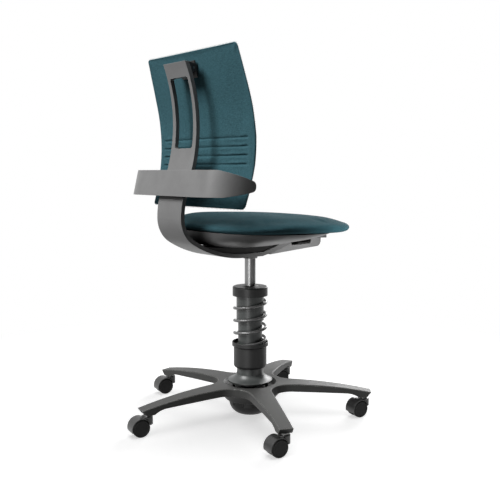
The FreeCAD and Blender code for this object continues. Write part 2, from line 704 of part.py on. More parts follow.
def caster_stem(label, place):
    outer = S.wheel_radius + S.hood_gap + S.hood_wall
    housing_top = S.wheel_radius + outer
    collar_top = S.boss_floor - S.seated
    top = S.boss_floor + S.stem_reach
    floor = housing_top - S.stem_spigot_depth
    turned_piece(label, [
        (0, floor), (S.stem_spigot, floor), (S.stem_spigot, housing_top), (S.stem_collar, housing_top),
        (S.stem_collar, collar_top), (S.stem_radius, collar_top), (S.stem_radius, top - S.stem_point),
        (S.stem_radius - S.stem_point, top), (0, top)], place)


def across(place, side):
    """The place of a piece turned about the axle: its own +Z points out to the given side."""
    tilt = Rotation(Vector(1, 0, 0), -90 * side)
    return place.multiply(FreeCAD.Placement(Vector(S.trail.value, 0, S.wheel_radius.value), tilt))


def caster_axle(label, place):
    end = S.web / 2 + S.wheel_play + S.wheel_width - S.wheel_dish - S.axle_inset
    turned_piece(label, [(0, -end), (S.axle_radius, -end), (S.axle_radius, end), (0, end)], across(place, 1))


def caster_wheel(label, place, side):
    inner = S.web / 2 + S.wheel_play
    outer = inner + S.wheel_width
    bore = S.axle_radius + S.running
    bore_end = outer - S.wheel_dish - S.wheel_disc
    shoulder = S.wheel_radius - S.wheel_round
    corner = S.wheel_inner_round
    dish = S.wheel_radius - S.wheel_rim
    face = outer - S.wheel_dish
    turned_piece(label, [
        (bore, inner), (S.wheel_radius - corner, inner), (S.wheel_radius, inner + corner, corner),
        (S.wheel_radius, outer - S.wheel_round), (shoulder, outer, S.wheel_round), (dish, outer),
        (dish - S.wheel_dish, face), (0, face), (0, bore_end), (bore, bore_end)], across(place, side))


def casters():
    for number in range(1, int(S.arm_count.value) + 1):
        angle = math.radians(BASE_ANGLE + 360 / S.arm_count.value * (number - 1))
        reach = STEM_CIRCLE.value
        place = turned(S.caster_turn.value, reach * math.cos(angle), reach * math.sin(angle))
        caster_hood("caster_%d_hood" % number, place)
        caster_stem("caster_%d_stem" % number, place)
        caster_axle("caster_%d_axle" % number, place)
        caster_wheel("caster_%d_wheel_left" % number, place, 1)
        caster_wheel("caster_%d_wheel_right" % number, place, -1)


# Column

LEVER_HEIGHT = S.socket_top + S.lever_rise


def lower_column():
    """What stands on the swing joint: foot, skirt, neck, spring cup and guide tube."""
    shoulder_top = S.neck_floor + S.foot_shoulder
    collar_floor = S.neck_floor - S.foot_collar
    foot = new_body("column_foot")
    foot_floor = S.swing_height - S.ring_half
    plug = S.guide_inner - S.fixed
    spin(foot, [(0, foot_floor), (S.foot_radius, foot_floor), (S.foot_radius, collar_floor - S.foot_taper),
                (S.guide_outer, collar_floor), (S.guide_outer, shoulder_top), (plug, shoulder_top),
                (plug, shoulder_top + S.plug_depth), (0, shoulder_top + S.plug_depth)])
    bores = new_sketch(foot, "YZ_Plane")
    circle(bores, 0, S.swing_height, S.swing_pin + S.fixed)
    cut_through(foot, bores)
    foot.Placement = BASE_PLACE
    ring("guide_tube", S.guide_inner, S.guide_outer, shoulder_top, S.guide_top)
    inside = S.guide_outer + S.seated
    ring_outer = S.skirt_radius - S.skirt_edge
    ring_inner = ring_outer - S.skirt_ring
    ring_floor = S.skirt_floor - S.skirt_ring_height
    turned_piece("column_skirt", [
        (inside, S.neck_floor), (inside, S.neck_floor - S.skirt_throat),
        (ring_inner, S.skirt_floor, S.skirt_flare + S.skirt_edge), (ring_inner, ring_floor),
        (ring_outer, ring_floor), (ring_outer, S.skirt_floor), (S.skirt_radius, S.skirt_floor),
        (S.skirt_radius, S.skirt_floor + S.skirt_rim),
        (S.neck_radius + S.skirt_rim, S.neck_floor, -S.skirt_flare)])
    ring("column_neck", inside, S.neck_radius, S.neck_floor, S.neck_top)
    round_start = S.cup_radius - S.cup_round
    rim_floor = S.cup_top - S.cup_rim_height
    lip = S.cup_rim - S.cup_lip
    turned_piece("spring_cup", [
        (inside, S.neck_top), (round_start, S.neck_top), (S.cup_radius, S.neck_top + S.cup_round, S.cup_round),
        (S.cup_radius, rim_floor - S.cup_flare), (S.cup_rim, rim_floor), (S.cup_rim, S.cup_top - S.cup_bevel),
        (S.cup_rim - S.cup_bevel, S.cup_top), (lip, S.cup_top), (lip, S.spring_seat), (inside, S.spring_seat)])


def biarc(start, start_way, end, end_way):
    """Two arcs that leave start and reach end in the given directions, with a common tangent between."""
    span = end - start
    ways = start_way + end_way
    square = 2 * start_way.dot(end_way) - 2
    along = span.dot(ways)
    reach = (along - math.sqrt(along ** 2 - square * span.dot(span))) / square
    first_corner = start + start_way * reach
    last_corner = end - end_way * reach
    joint = (first_corner + last_corner) * 0.5
    edges = []
    for begin, corner, finish in ((start, first_corner, joint), (joint, last_corner, end)):
        chord_middle = (begin + finish) * 0.5
        half = (finish - begin).Length / 2
        turn = (corner - begin).getAngle(finish - corner)
        bulge = (corner - chord_middle).normalize() * (half * math.tan(turn / 4))
        edges.append(Part.Arc(begin, chord_middle + bulge, finish).toShape())
    return edges


def coil_spring():
    """One unbroken wire: quarter turns of a rising coil, with a short straight end at each seat."""
    radius = S.coil_radius.value
    wire = S.wire.value
    free_height = S.cap_floor.value - S.spring_seat.value - wire - 2 * S.seated.value
    quarters = int(round(S.coil_turns.value * 4))
    quarter = math.radians(90)
    rise = free_height / quarters
    start_angle = math.radians(S.coil_start.value)
    floor = S.spring_seat.value + S.seated.value + wire / 2
    slope = math.atan2(rise, radius * quarter)

    def at(index):
        angle = start_angle + quarter * index
        return Vector(radius * math.cos(angle), radius * math.sin(angle), floor + rise * index)

    def way(index, climb):
        angle = start_angle + quarter * index
        level = math.cos(climb)
        return Vector(-math.sin(angle) * level, math.cos(angle) * level, math.sin(climb))

    ends = (0, quarters)
    climbs = [0 if index in ends else slope for index in range(quarters + 1)]
    first_way = way(0, 0)
    last_way = way(quarters, 0)
    edges = [Part.makeLine(at(0) - first_way * (wire / 2), at(0))]
    for index in range(quarters):
        edges += biarc(at(index), way(index, climbs[index]), at(index + 1), way(index + 1, climbs[index + 1]))
    edges.append(Part.makeLine(at(quarters), at(quarters) + last_way * (wire / 2)))
    path = Part.Wire(edges)
    section = Part.Wire(Part.makeCircle(wire / 2, at(0) - first_way * (wire / 2), first_way))
    tube = path.makePipeShell([section], True, False)
    spacing = wire / 2
    points = path.discretize(Distance=spacing)
    apart = math.pi * radius / spacing
    least = min((points[i] - points[j]).Length for i in range(len(points)) for j in range(i) if i - j > apart)
    print("spring: least gap to itself %.2f mm" % (least - wire))
    shape_piece("coil_spring", Part.Solid(tube) if tube.ShapeType == "Shell" else tube)


def upper_column():
    """What rides on the spring: cap, sleeve and bush, and the standing tube of the gas lift."""
    ring("outer_sleeve", S.sleeve_inner, S.sleeve_outer, S.sleeve_floor, S.cap_floor)
    bush_floor = S.sleeve_floor + S.bush_inset
    ring("slide_bush", S.guide_outer + S.running, S.sleeve_inner - S.fixed,
         bush_floor, bush_floor + S.bush_height)
    tube_top = S.cap_floor + S.gas_tube_depth
    tube_inner = S.gas_tube_outer - S.gas_tube_wall
    plate_top = S.gas_tube_floor + S.gas_tube_plate
    rod_bore = S.rod_radius + S.running
    turned_piece("gas_tube", [
        (rod_bore, S.gas_tube_floor), (S.gas_tube_outer, S.gas_tube_floor), (S.gas_tube_outer, tube_top),
        (tube_inner, tube_top), (tube_inner, plate_top), (rod_bore, plate_top)])
    ring("lift_bush", S.lift_radius + S.running, tube_inner - S.fixed, tube_top - S.lift_bush_height, tube_top)
    ring("thrust_bearing", S.rod_radius + S.seated, S.bearing_radius, plate_top, plate_top + S.bearing_height)
    mouth = S.lift_radius + S.mouth_gap
    collar = S.gas_tube_outer + S.fixed
    hollow = S.sleeve_inner
    hollow_top = S.cap_floor + S.cap_recess
    wall = S.gas_tube_outer + S.seated
    turned_piece("column_cap", [
        (hollow, S.cap_floor), (S.cap_radius, S.cap_floor), (S.cap_radius, S.cap_top - S.cap_round),
        (S.cap_radius - S.cap_round, S.cap_top, S.cap_round), (mouth + S.cap_cone, S.cap_top),
        (mouth, S.cap_top + S.cap_cone_rise),
        (mouth, tube_top), (collar, tube_top), (collar, hollow_top), (wall, hollow_top), (hollow, hollow_top)])


def gas_lift():
    """Piston rod on its thrust bearing, and the cylinder that slides over it into the seat's socket."""
    plate_top = S.gas_tube_floor + S.gas_tube_plate
    shoulder_floor = plate_top + S.bearing_height
    shoulder_top = shoulder_floor + S.rod_shoulder_height
    bore = S.lift_radius - S.lift_wall
    piston = bore - S.running
    piston_floor = S.piston_top - S.piston_height
    turned_piece("piston_rod", [
        (0, S.rod_floor), (S.rod_radius, S.rod_floor), (S.rod_radius, shoulder_floor),
        (S.rod_shoulder, shoulder_floor), (S.rod_shoulder, shoulder_top), (S.rod_radius, shoulder_top),
        (S.rod_radius, piston_floor), (piston, piston_floor), (piston, S.piston_top), (0, S.piston_top)])
    clip_top = S.gas_tube_floor - S.seated
    ring("retaining_clip", S.rod_radius + S.fixed, S.rod_radius + S.clip_width,
         clip_top - S.clip_height, clip_top)
    rod_bore = S.rod_radius + S.running
    pin_bore = S.pin_radius + S.running
    plug_top = S.lift_floor + S.lift_plug
    head_floor = S.lift_top - S.lift_plug
    turned_piece("gas_cylinder", [
        (rod_bore, S.lift_floor), (S.lift_radius, S.lift_floor), (S.lift_radius, S.lift_top),
        (pin_bore, S.lift_top), (pin_bore, head_floor), (bore, head_floor), (bore, plug_top),
        (rod_bore, plug_top)])
    pin_top = LEVER_HEIGHT - S.seated
    shoulder = pin_top - (S.pin_dome - root(S.pin_dome * S.pin_dome - S.pin_radius * S.pin_radius))
    turned_piece("release_pin", [
        (0, S.pin_floor), (S.pin_radius, S.pin_floor), (S.pin_radius, shoulder), (0, pin_top, S.pin_dome)])


# Band, carrier and lever

class BandLine:
    """The band's side line, a chain of tangent arcs, at a depth inside its outer face."""

    def __init__(self, depth):
        rise = S.band_rear_height - S.band_floor
        run = S.band_rear - S.band_bend - S.sole_start
        bend = S.band_bend
        sole = (run * run + rise * rise - bend * bend) / (2 * (rise - bend))
        away = S.upright_waist + S.upright_arch - S.band_rear
        climb = S.upright_waist_height - S.band_rear_height
        arch = S.upright_arch
        knee = (away * away + climb * climb - arch * arch) / (2 * (arch - away))
        ratio = (sole - depth) / (sole - bend)
        self.sole = sole - depth
        self.bend = bend - depth
        self.knee = knee - depth
        self.arch = arch + depth
        self.column = (size(0), S.band_floor + depth)
        self.start = (S.sole_start, S.band_floor + depth)
        self.sole_end = (S.sole_start + run * ratio, S.band_floor + sole + (rise - sole) * ratio)
        self.rear = (S.band_rear - depth, S.band_rear_height)
        share = self.knee / (knee + arch)
        self.knee_end = (S.band_rear - knee + (away + knee) * share, S.band_rear_height + climb * share)

    def upright(self, height):
        """Depth of the upright's face at a height."""
        off = height - S.upright_waist_height
        return S.upright_waist + S.upright_arch - root(self.arch * self.arch - off * off)


OUTER = BandLine(size(0))
INNER = BandLine(S.band_wall)
UNDER_PAN = S.pan_floor - S.seated
KNEE_UNDER = S.band_floor + S.prop_rise
KNEE_TOP = KNEE_UNDER + S.prop_wall
PROP_REAR = S.prop_length - S.prop_reach


def plate_underside(depth):
    """Height of the underside of the band's plate, at a depth in front of the column."""
    slope = S.plate_drop / (S.carrier_reach - S.prop_reach)
    return S.plate_under + (depth + S.prop_reach) * slope


def side_trims(body, plane, points):
    """Cuts an outline away on both sides; a third value is the radius of an arc on the side of +X."""
    sketch = new_sketch(body, plane)
    for side in (1, -1):
        outline(sketch, [(point[0] * side, point[1]) + tuple(bend * side for bend in point[2:])
                         for point in points])
    cut_through(body, sketch)


def spine():
    """The band: a prop under the pan, the sole under the column, the bend behind the seat, and the upright."""
    body = new_body("spine")
    side = new_sketch(body, "YZ_Plane")
    prop_front = -S.prop_reach
    tip = -S.plate_reach
    tip_under = plate_underside(tip)
    tip_top = tip_under + S.plate_wall
    nose = S.plate_nose
    outline(side, [
        OUTER.column, OUTER.start, OUTER.sole_end + (OUTER.sole,),
        OUTER.rear + (OUTER.bend,), OUTER.knee_end + (OUTER.knee,),
        (OUTER.upright(S.upright_top), S.upright_top, -OUTER.arch),
        (INNER.upright(S.upright_top), S.upright_top),
        INNER.knee_end + (INNER.arch,), INNER.rear + (-INNER.knee,),
        INNER.sole_end + (-INNER.bend,), INNER.start + (-INNER.sole,), INNER.column,
        (-S.prop_knee, KNEE_TOP), (PROP_REAR, plate_underside(PROP_REAR) + S.plate_wall, -S.prop_arch),
        (tip + nose, tip_top), (tip, tip_top - nose, nose),
        (tip, tip_under + nose), (tip + nose, tip_under, nose), (prop_front, plate_underside(prop_front)),
        (prop_front + S.prop_toe, S.bay_floor + S.prop_toe_rise, -S.prop_hollow),
        (-S.prop_knee, KNEE_UNDER)])
    extrude(body, "Pad", side, S.band_width, both=True)
    half = S.band_width / 2
    beyond = half + S.trim_margin
    high = S.upright_top + S.trim_margin
    side_trims(body, "XZ_Plane", [
        (S.head_width / 2, high), (S.head_width / 2, S.upright_top), (half, S.taper_floor),
        (beyond, S.taper_floor), (beyond, high)])
    ahead = tip - S.trim_margin
    corner = S.plate_corner
    side_trims(body, "XY_Plane", [
        (half - corner, ahead), (half - corner, tip), (half, tip + corner, corner), (beyond, tip + corner),
        (beyond, ahead)])
    window = new_sketch(body, "XZ_Plane")
    half = S.window_width / 2
    corner = S.window_round
    outline(window, [
        (half - corner, S.window_floor), (half, S.window_floor + corner, corner),
        (half, S.window_top - corner), (half - corner, S.window_top, corner),
        (corner - half, S.window_top), (-half, S.window_top - corner, corner),
        (-half, S.window_floor + corner), (corner - half, S.window_floor, corner)])
    cut_through(body, window)
    socket = new_sketch(body, "XY_Plane", S.socket_floor)
    circle(socket, 0, 0, S.socket_radius)
    extrude(body, "Pad", socket, S.socket_top - S.socket_floor)
    bore = new_sketch(body, "XY_Plane", S.socket_floor)
    circle(bore, 0, 0, S.lift_radius + S.fixed)
    extrude(body, "Pocket", bore, S.socket_top - S.socket_floor, reverse=True)
    shaft = new_sketch(body, "XZ_Plane")
    circle(shaft, S.lever_side, LEVER_HEIGHT, S.lever_shaft + S.running)
    extrude(body, "Pocket", shaft, S.prop_reach + S.trim_margin, reverse=True)


def seat_carrier():
    """The beam in front of the column, which turns up to the band's plate and leaves a bay for the lever."""
    front = -S.carrier_reach
    start = -S.carrier_start
    nose = S.carrier_nose
    nose_floor = S.carrier_floor + S.carrier_rise
    post_rear = front + S.carrier_post
    toe = S.prop_toe - S.prop_reach
    start_top = S.band_floor + S.prop_rise * S.carrier_start / S.prop_knee - S.seated
    corner = S.bay_round
    profile_piece("seat_carrier", [
        (start, S.carrier_floor), (start, start_top), (-S.prop_knee, KNEE_UNDER - S.seated),
        (toe, S.bay_floor + S.prop_toe_rise - S.seated), (toe - S.bay_slope, S.bay_floor),
        (post_rear + corner, S.bay_floor), (post_rear, S.bay_floor + corner, -corner),
        (post_rear, plate_underside(post_rear) - S.seated), (front, plate_underside(front) - S.seated),
        (front, nose_floor + nose), (front + nose, nose_floor, nose)], S.band_width)


def release_cover():
    """Side walls between the band and the pan that hide the lift's release, joined behind it."""
    line = BandLine(S.band_wall + S.seated)
    knee_top = KNEE_TOP + S.seated
    climb = plate_underside(PROP_REAR) + S.plate_wall - KNEE_TOP
    front = -S.prop_knee + (UNDER_PAN - knee_top) * (PROP_REAR + S.prop_knee) / climb
    rear = S.cover_rear
    run = rear - S.sole_start
    rear_height = S.band_floor + line.sole + S.band_wall + S.seated - root(line.sole * line.sole - run * run)
    body = profile_piece("release_cover", [
        line.column, line.start, (rear, rear_height, line.sole), (rear, UNDER_PAN + S.cover_rear_rise),
        (S.pan_flat_rear, UNDER_PAN), (front, UNDER_PAN), (-S.prop_knee, knee_top)], S.cover_half * 2)
    room = new_sketch(body, "XY_Plane")
    side = S.cover_half - S.cover_side
    ahead = -S.prop_reach
    outline(room, [(side, ahead), (side, S.cover_bay), (-side, S.cover_bay), (-side, ahead)])
    cut_through(body, room)


def height_lever():
    """Paddle in the bay, its shaft through the prop, and the rocker over the release pin."""
    body = new_body("height_lever")
    shaft = new_sketch(body, "XZ_Plane")
    circle(shaft, S.lever_side, LEVER_HEIGHT, S.lever_shaft)
    extrude(body, "Pad", shaft, S.paddle_front)
    tail = new_sketch(body, "XZ_Plane")
    circle(tail, S.lever_side, LEVER_HEIGHT, S.lever_shaft)
    extrude(body, "Pad", tail, S.rocker_width / 2, reverse=True)
    paddle = new_sketch(body, "XY_Plane", LEVER_HEIGHT - S.paddle_drop)
    inner = S.lever_side
    outer = -S.lever_reach
    rear = S.paddle_length - S.paddle_front
    corner = S.paddle_round
    outline(paddle, [
        (inner, -S.paddle_front), (inner, rear), (outer + corner, rear), (outer, rear - corner, corner),
        (outer, corner - S.paddle_front), (outer + corner, -S.paddle_front, corner)])
    extrude(body, "Pad", paddle, S.paddle_wall)
    rocker = new_sketch(body, "XY_Plane", LEVER_HEIGHT)
    half = S.rocker_width / 2
    end = S.lever_side + S.rocker_length
    outline(rocker, [(S.lever_side, -half), (end, -half), (end, half), (S.lever_side, half)])
    extrude(body, "Pad", rocker, S.lever_shaft)


# Yoke and the back's rocking joint

def yoke_plan(shift):
    """The yoke's outline in plan, moved forward by a shift."""
    rear = S.yoke_rear - shift
    half = S.yoke_half
    bend = S.yoke_bend
    wall = S.yoke_wall
    straight = half - bend
    tip = S.yoke_tip - shift - S.trim_margin
    side = rear - bend
    return [
        (half, tip), (half, side), (straight, rear, bend),
        (-straight, rear), (-half, side, bend), (-half, tip),
        (wall - half, tip), (wall - half, side), (-straight, rear - wall, wall - bend),
        (straight, rear - wall), (half - wall, side, wall - bend), (half - wall, tip)]


def yoke():
    """A band bent round the back, leaning forward at its top, with wings that taper to round ends."""
    body = new_body("yoke")
    lower = new_sketch(body, "XY_Plane", S.yoke_floor)
    outline(lower, yoke_plan(size(0)))
    upper = new_sketch(body, "XY_Plane", S.yoke_floor + S.yoke_height)
    outline(upper, yoke_plan(S.yoke_lean))
    loft = body.newObject("PartDesign::AdditiveLoft", "yoke_loft")
    loft.Profile = lower
    loft.Sections = [upper]
    loft.Ruled = True
    doc.recompute()
    trim = new_sketch(body, "YZ_Plane")
    low = S.yoke_floor - S.seated
    high = S.yoke_floor + S.yoke_height + S.seated
    tip = S.yoke_tip
    curve = S.wing_round
    ahead = tip - S.yoke_lean - S.trim_margin * 2
    outline(trim, [(S.wing_start, high), (tip + curve, S.wing_top), (tip, S.wing_top - curve, S.wing_bow),
                   (tip, S.wing_floor + curve), (tip + curve, S.wing_floor, S.wing_bow), (S.wing_start, low),
                   (ahead, low), (ahead, high)])
    cut_through(body, trim)


def yoke_front(height):
    """Depth of the yoke's front face, on the middle line, at a height."""
    return S.yoke_rear - S.yoke_wall - (height - S.yoke_floor) * S.yoke_lean / S.yoke_height


def yoke_spacer():
    low, high = S.spacer_floor, S.spacer_top
    face = BandLine(-S.seated)
    profile_piece("yoke_spacer", [
        (face.upright(low), low, face.arch), (yoke_front(low) - S.seated, low),
        (yoke_front(high) - S.seated, high), (face.upright(high), high)], S.spacer_half * 2)


def back_joint():
    """Slotted head block on the upright, and the panel's bracket, whose lug rocks on a pin in that slot."""
    low, high = S.head_floor, S.head_top
    nose = S.head_nose
    depth, height = S.rock_depth, S.rock_height
    face = BandLine(S.band_wall + S.seated)
    block = profile_piece("head_block", [
        (face.upright(low), low, face.arch), (face.upright(high), high), (depth, height + nose),
        (depth - nose, height, nose), (depth, height - nose, nose)], S.head_half * 2)
    bore = new_sketch(block, "YZ_Plane")
    circle(bore, depth, height, S.rock_pin + S.running)
    cut_through(block, bore)
    slot = new_sketch(block, "YZ_Plane")
    room = S.lug_round + S.lug_play
    ahead = depth - nose - S.trim_margin
    below, above = low - S.trim_margin, high + S.trim_margin
    outline(slot, [(ahead, below), (depth, below), (depth, height - room), (depth + room, height, room),
                   (depth, height + room, room), (depth, above), (ahead, above)])
    extrude(block, "Pocket", slot, (S.lug_half + S.seated) * 2, both=True)
    plate_low, plate_high = low - S.bracket_margin, high + S.bracket_margin
    front_low = size(panel_rear(plate_low.value) + S.seated.value)
    front_high = size(panel_rear(plate_high.value) + S.seated.value)
    plate = S.bracket_plate
    bracket = profile_piece("back_bracket", [
        (front_low, plate_low), (front_low + plate, plate_low), (front_high + plate, plate_high),
        (front_high, plate_high)], S.bracket_half * 2)
    nose = S.lug_round
    lug = new_sketch(bracket, "YZ_Plane")
    outline(lug, [(front_low + plate / 2, low), (depth, height - nose), (depth + nose, height, nose),
                  (depth, height + nose, nose), (front_high + plate / 2, high)])
    extrude(bracket, "Pad", lug, S.lug_half * 2, both=True)
    hole = new_sketch(bracket, "YZ_Plane")
    circle(hole, depth, height, S.rock_pin + S.fixed)
    cut_through(bracket, hole)
    half = S.head_half - S.rock_pin_inset
    pin("back_pin", S.rock_pin, half * 2, Vector(-half.value, depth.value, height.value), Vector(1, 0, 0))


# Soft forms: seat and back

def plan_wire(half, front, rear, front_round, rear_round, height):
    """A closed plan line of straights and quarter arcs, at a height."""
    turns = ((half, -front, front_round, 1, 1), (half, rear, rear_round, 1, -1),
             (-half, rear, rear_round, -1, -1), (-half, -front, front_round, -1, 1))
    ends = []
    for index, (x, y, bend, side, way) in enumerate(turns):
        along_front = Vector(x - side * bend, y, height)
        along_side = Vector(x, y + way * bend, height)
        middle = Vector(x - side * bend * (1 - math.sqrt(0.5)), y + way * bend * (1 - math.sqrt(0.5)), height)
        first, last = (along_front, along_side) if index % 2 == 0 else (along_side, along_front)
        ends.append((first, middle, last))
    edges = []
    for index, (first, middle, last) in enumerate(ends):
        edges.append(Part.Arc(first, middle, last).toShape())
        edges.append(Part.makeLine(last, ends[(index + 1) % len(ends)][0]))
    return Part.Wire(edges)


def seat_wire(inset, height):
    """The seat's plan, drawn in from its edge."""
    tighter = inset * S.round_share.value
    return plan_wire(S.seat_half.value - inset, S.seat_front.value - inset, S.seat_rear.value - inset,
                     S.seat_front_round.value - tighter, S.seat_rear_round.value - tighter, height)


def tipped(wire, share):
    """Tips a ring of the seat forward by a share of the seat's slope, over the column."""
    middle = Vector(0, 0, wire.BoundBox.Center.z)
    wire.rotate(middle, Vector(1, 0, 0), S.seat_slope.value * share)
    return wire


def spread(share, fullness, floor, rim):
    """A size of the pan at a share of its height: it runs out fast from the floor where the pan is full."""
    return floor + (rim - floor) * (1 - (1 - share) ** fullness.value)


def pan_loft(wall, lid):
    """The pan's body, or its hollow when drawn in by the wall and lifted past the rim by the lid."""
    floor = S.pan_floor.value + wall
    top = S.pan_floor.value + S.pan_depth.value + lid
    rim_half = S.seat_half.value - S.seat_lip.value
    rim_front = S.seat_front.value - S.pan_front_inset.value
    rim_rear = S.seat_rear.value - S.pan_rear_inset.value
    flat_round = S.pan_flat_round.value
    steps = int(S.pan_steps.value)
    wires = []
    for step in range(steps + 1):
        share = step / steps
        half = spread(share, S.pan_side_full, S.pan_flat_half.value, rim_half)
        front = spread(share, S.pan_front_full, S.pan_flat_front.value, rim_front)
        rear = spread(share, S.pan_rear_full, S.pan_flat_rear.value, rim_rear)
        front_bend = spread(share, S.pan_side_full, flat_round, S.seat_front_round.value)
        rear_bend = spread(share, S.pan_side_full, flat_round, S.seat_rear_round.value)
        ring_wire = plan_wire(half - wall, front - wall, rear - wall, front_bend - wall, rear_bend - wall,
                              floor + (top - floor) * share)
        wires.append(tipped(ring_wire, share))
    return Part.makeLoft(wires, True, False)


def band_room(gap):
    """The room that the band's prop and plate take under the pan, with a gap round them."""
    low = S.socket_floor.value
    tip = -S.plate_reach.value - gap
    rise = S.plate_wall.value + gap
    half = S.band_width.value / 2 + gap
    corners = [Vector(-half, y, z) for y, z in (
        (-S.prop_knee.value, low), (-S.prop_knee.value, KNEE_TOP.value + gap),
        (PROP_REAR.value, plate_underside(PROP_REAR).value + rise),
        (tip, plate_underside(size(tip)).value + rise), (tip, low))]
    return Part.Face(Part.makePolygon(corners + corners[:1])).extrude(Vector(half * 2, 0, 0))


def lever_hatch():
    """The opening in the pan's floor over the lever's shaft and rocker."""
    margin = S.hatch_margin.value
    side = S.lever_side.value - S.lever_shaft.value - margin
    width = S.lever_shaft.value + S.rocker_length.value + margin * 2
    front = -S.prop_reach.value
    length = S.rocker_width.value / 2 + margin - front
    floor = S.pan_floor.value - S.seated.value
    height = LEVER_HEIGHT.value + S.lever_shaft.value + S.seated.value - floor
    return Part.makeBox(width, length, height, Vector(side, front, floor))


def seat_rings():
    """The cushion's side line, as insets and heights: rounded under and over its edge, then a low crown."""
    nose, run, rise = S.seat_nose.value, S.seat_edge.value, S.seat_edge_rise.value
    steps = int(S.seat_steps.value)
    shares = [step / steps for step in range(steps)]
    turns = [math.radians(90) * share for share in shares]
    rings = [(S.seat_tuck.value * (1 - math.sin(turn)), nose * (1 - math.cos(turn))) for turn in turns]
    rings += [(run * (1 - math.cos(turn)), nose + rise * math.sin(turn)) for turn in turns]
    shoulder = nose + rise
    for share in shares + [1]:
        crown = (S.seat_thick.value - shoulder) * (1 - (1 - share) ** 2)
        rings.append((run + (S.seat_crown.value - run) * share, shoulder + crown))
    return rings


def seat():
    """Moulded pan that lies on the band, and the upholstered cushion on it, drawn in at its lower edge."""
    wall, gap = S.pan_wall.value, S.seated.value
    hollow = pan_loft(wall, gap).cut(band_room(gap + wall))
    shape_piece("seat_pan", pan_loft(0, 0).cut(band_room(gap)).cut(hollow).cut(lever_hatch()))
    floor = S.pan_floor.value + S.pan_depth.value + gap
    wires = [tipped(seat_wire(inset, floor + rise), 1) for inset, rise in seat_rings()]
    shape_piece("seat_cushion", Part.makeLoft(wires, True, True))


def panel_share(height):
    """How far a height lies from the loins: 1 at the panel's top edge, 1 at its lower edge."""
    loin = S.loin_height.value
    end = S.panel_top.value if height > loin else S.panel_floor.value
    return (height - loin) / (end - loin)


def panel_edge(height):
    """Depth of the panel's rear edge: an arc above the loins that runs out straight, another below them."""
    off = height - S.loin_height.value
    bend = S.loin_arch.value if off > 0 else S.loin_bow.value
    bent = min(abs(off), S.loin_run.value) if off > 0 else abs(off)
    drop = math.sqrt(bend ** 2 - bent ** 2)
    return S.loin_rear.value + bend - drop + (abs(off) - bent) * bent / drop


def panel_blend(height, loin, top, floor):
    """A size that goes from its value at the loins to those at the panel's ends."""
    end = top if height > S.loin_height.value else floor
    return loin.value + (end.value - loin.value) * panel_share(height) ** 2


def panel_rear(height):
    """Depth of the panel's rear face on the middle line."""
    return panel_edge(height) + panel_blend(height, S.panel_hollow, S.panel_top_hollow, S.panel_floor_hollow)


def panel_section(height, rear, front, trim):
    """One plan section between two faces, each given by its depth at the edge and on the middle line."""
    half = panel_blend(height, S.panel_half, S.panel_top_half, S.panel_floor_half) - trim
    edge = panel_edge(height)
    middle = panel_rear(height)
    rear_edge, rear_middle = edge - rear[0], middle - rear[1]
    front_edge, front_middle = edge - front[0], middle - front[1]
    nose = S.edge_nose.value
    side = half - nose
    between = (rear_edge + front_edge) / 2
    corners = [Vector(-side, rear_edge, height), Vector(side, rear_edge, height),
               Vector(side, front_edge, height), Vector(-side, front_edge, height)]
    middles = [Vector(0, rear_middle, height), Vector(half, between, height),
               Vector(0, front_middle, height), Vector(-half, between, height)]
    edges = [Part.Arc(corners[k], middles[k], corners[(k + 1) % 4]).toShape() for k in range(4)]
    return Part.Wire(edges)


def panel_heights():
    """Heights of the sections, with how far each is trimmed in for the rounded corners."""
    low, high, bend = S.panel_floor.value, S.panel_top.value, S.panel_round.value
    turns = [math.radians(angle) for angle in (0, 45, 90)]
    steps = [(1 - math.cos(turn), 1 - math.sin(turn)) for turn in turns]
    heights = [(low + bend * rise, bend * trim) for rise, trim in steps]
    start, end = low + bend, high - bend
    count = int(S.panel_sections.value)
    heights += [(start + (end - start) * k / count, 0.0) for k in range(1, count)]
    heights += [(high - bend * rise, bend * trim) for rise, trim in reversed(steps)]
    return heights


def back_panel():
    """The back: a rear cover with sewn channels and a front pad, curved both ways, joined at an edge seam."""
    cover, whole = S.cover_wall.value, S.panel_wall.value
    rim, gap = S.panel_rim.value, S.seated.value
    seam = (rim * S.seam_share.value, cover)
    heights = panel_heights()
    shell = Part.makeLoft([panel_section(z, (0, 0), seam, trim) for z, trim in heights], True, False)
    behind = (seam[0] + gap, seam[1] + gap)
    pad = Part.makeLoft([panel_section(z, behind, (rim, whole), trim) for z, trim in heights], True, False)
    for index in range(int(S.channels.value)):
        height = S.channel_top.value - S.channel_pitch.value * index
        half = panel_blend(height, S.panel_half, S.panel_top_half, S.panel_floor_half)
        middle = panel_rear(height)
        hollow = middle - panel_edge(height)
        bend = (half ** 2 + hollow ** 2) / (2 * hollow)
        reach = half - S.channel_margin.value
        end_depth = middle - bend + math.sqrt(bend ** 2 - reach ** 2)
        start, end = Vector(-reach, end_depth, height), Vector(reach, end_depth, height)
        line = Part.Arc(start, Vector(0, middle, height), end)
        start_way = Vector(*line.tangent(line.FirstParameter)[0])
        section = Part.Wire(Part.makeCircle(S.channel_radius.value, start, start_way))
        shell = shell.cut(Part.Wire(line.toShape()).makePipeShell([section], True, False))
    shape_piece("back_cover", shell)
    shape_piece("back_pad", pad)


star_base()
swing_joint()
swing_adjuster()
casters()
lower_column()
coil_spring()
upper_column()
gas_lift()
spine()
seat_carrier()
release_cover()
height_lever()
yoke()
yoke_spacer()
back_joint()
seat()
back_panel()
doc.recompute()

for item in doc.Objects:
    if "Invalid" in item.State or "Error" in item.State:
        raise RuntimeError("%s was not built" % item.Label)
os.makedirs("parts", exist_ok=True)
for piece in PIECES:
    if piece.Shape.isNull() or not piece.Shape.isValid():
        raise RuntimeError("%s has no sound shape" % piece.Label)
    piece.Shape.exportStep("parts/%s.step" % piece.Label)
print("%d pieces" % len(PIECES))
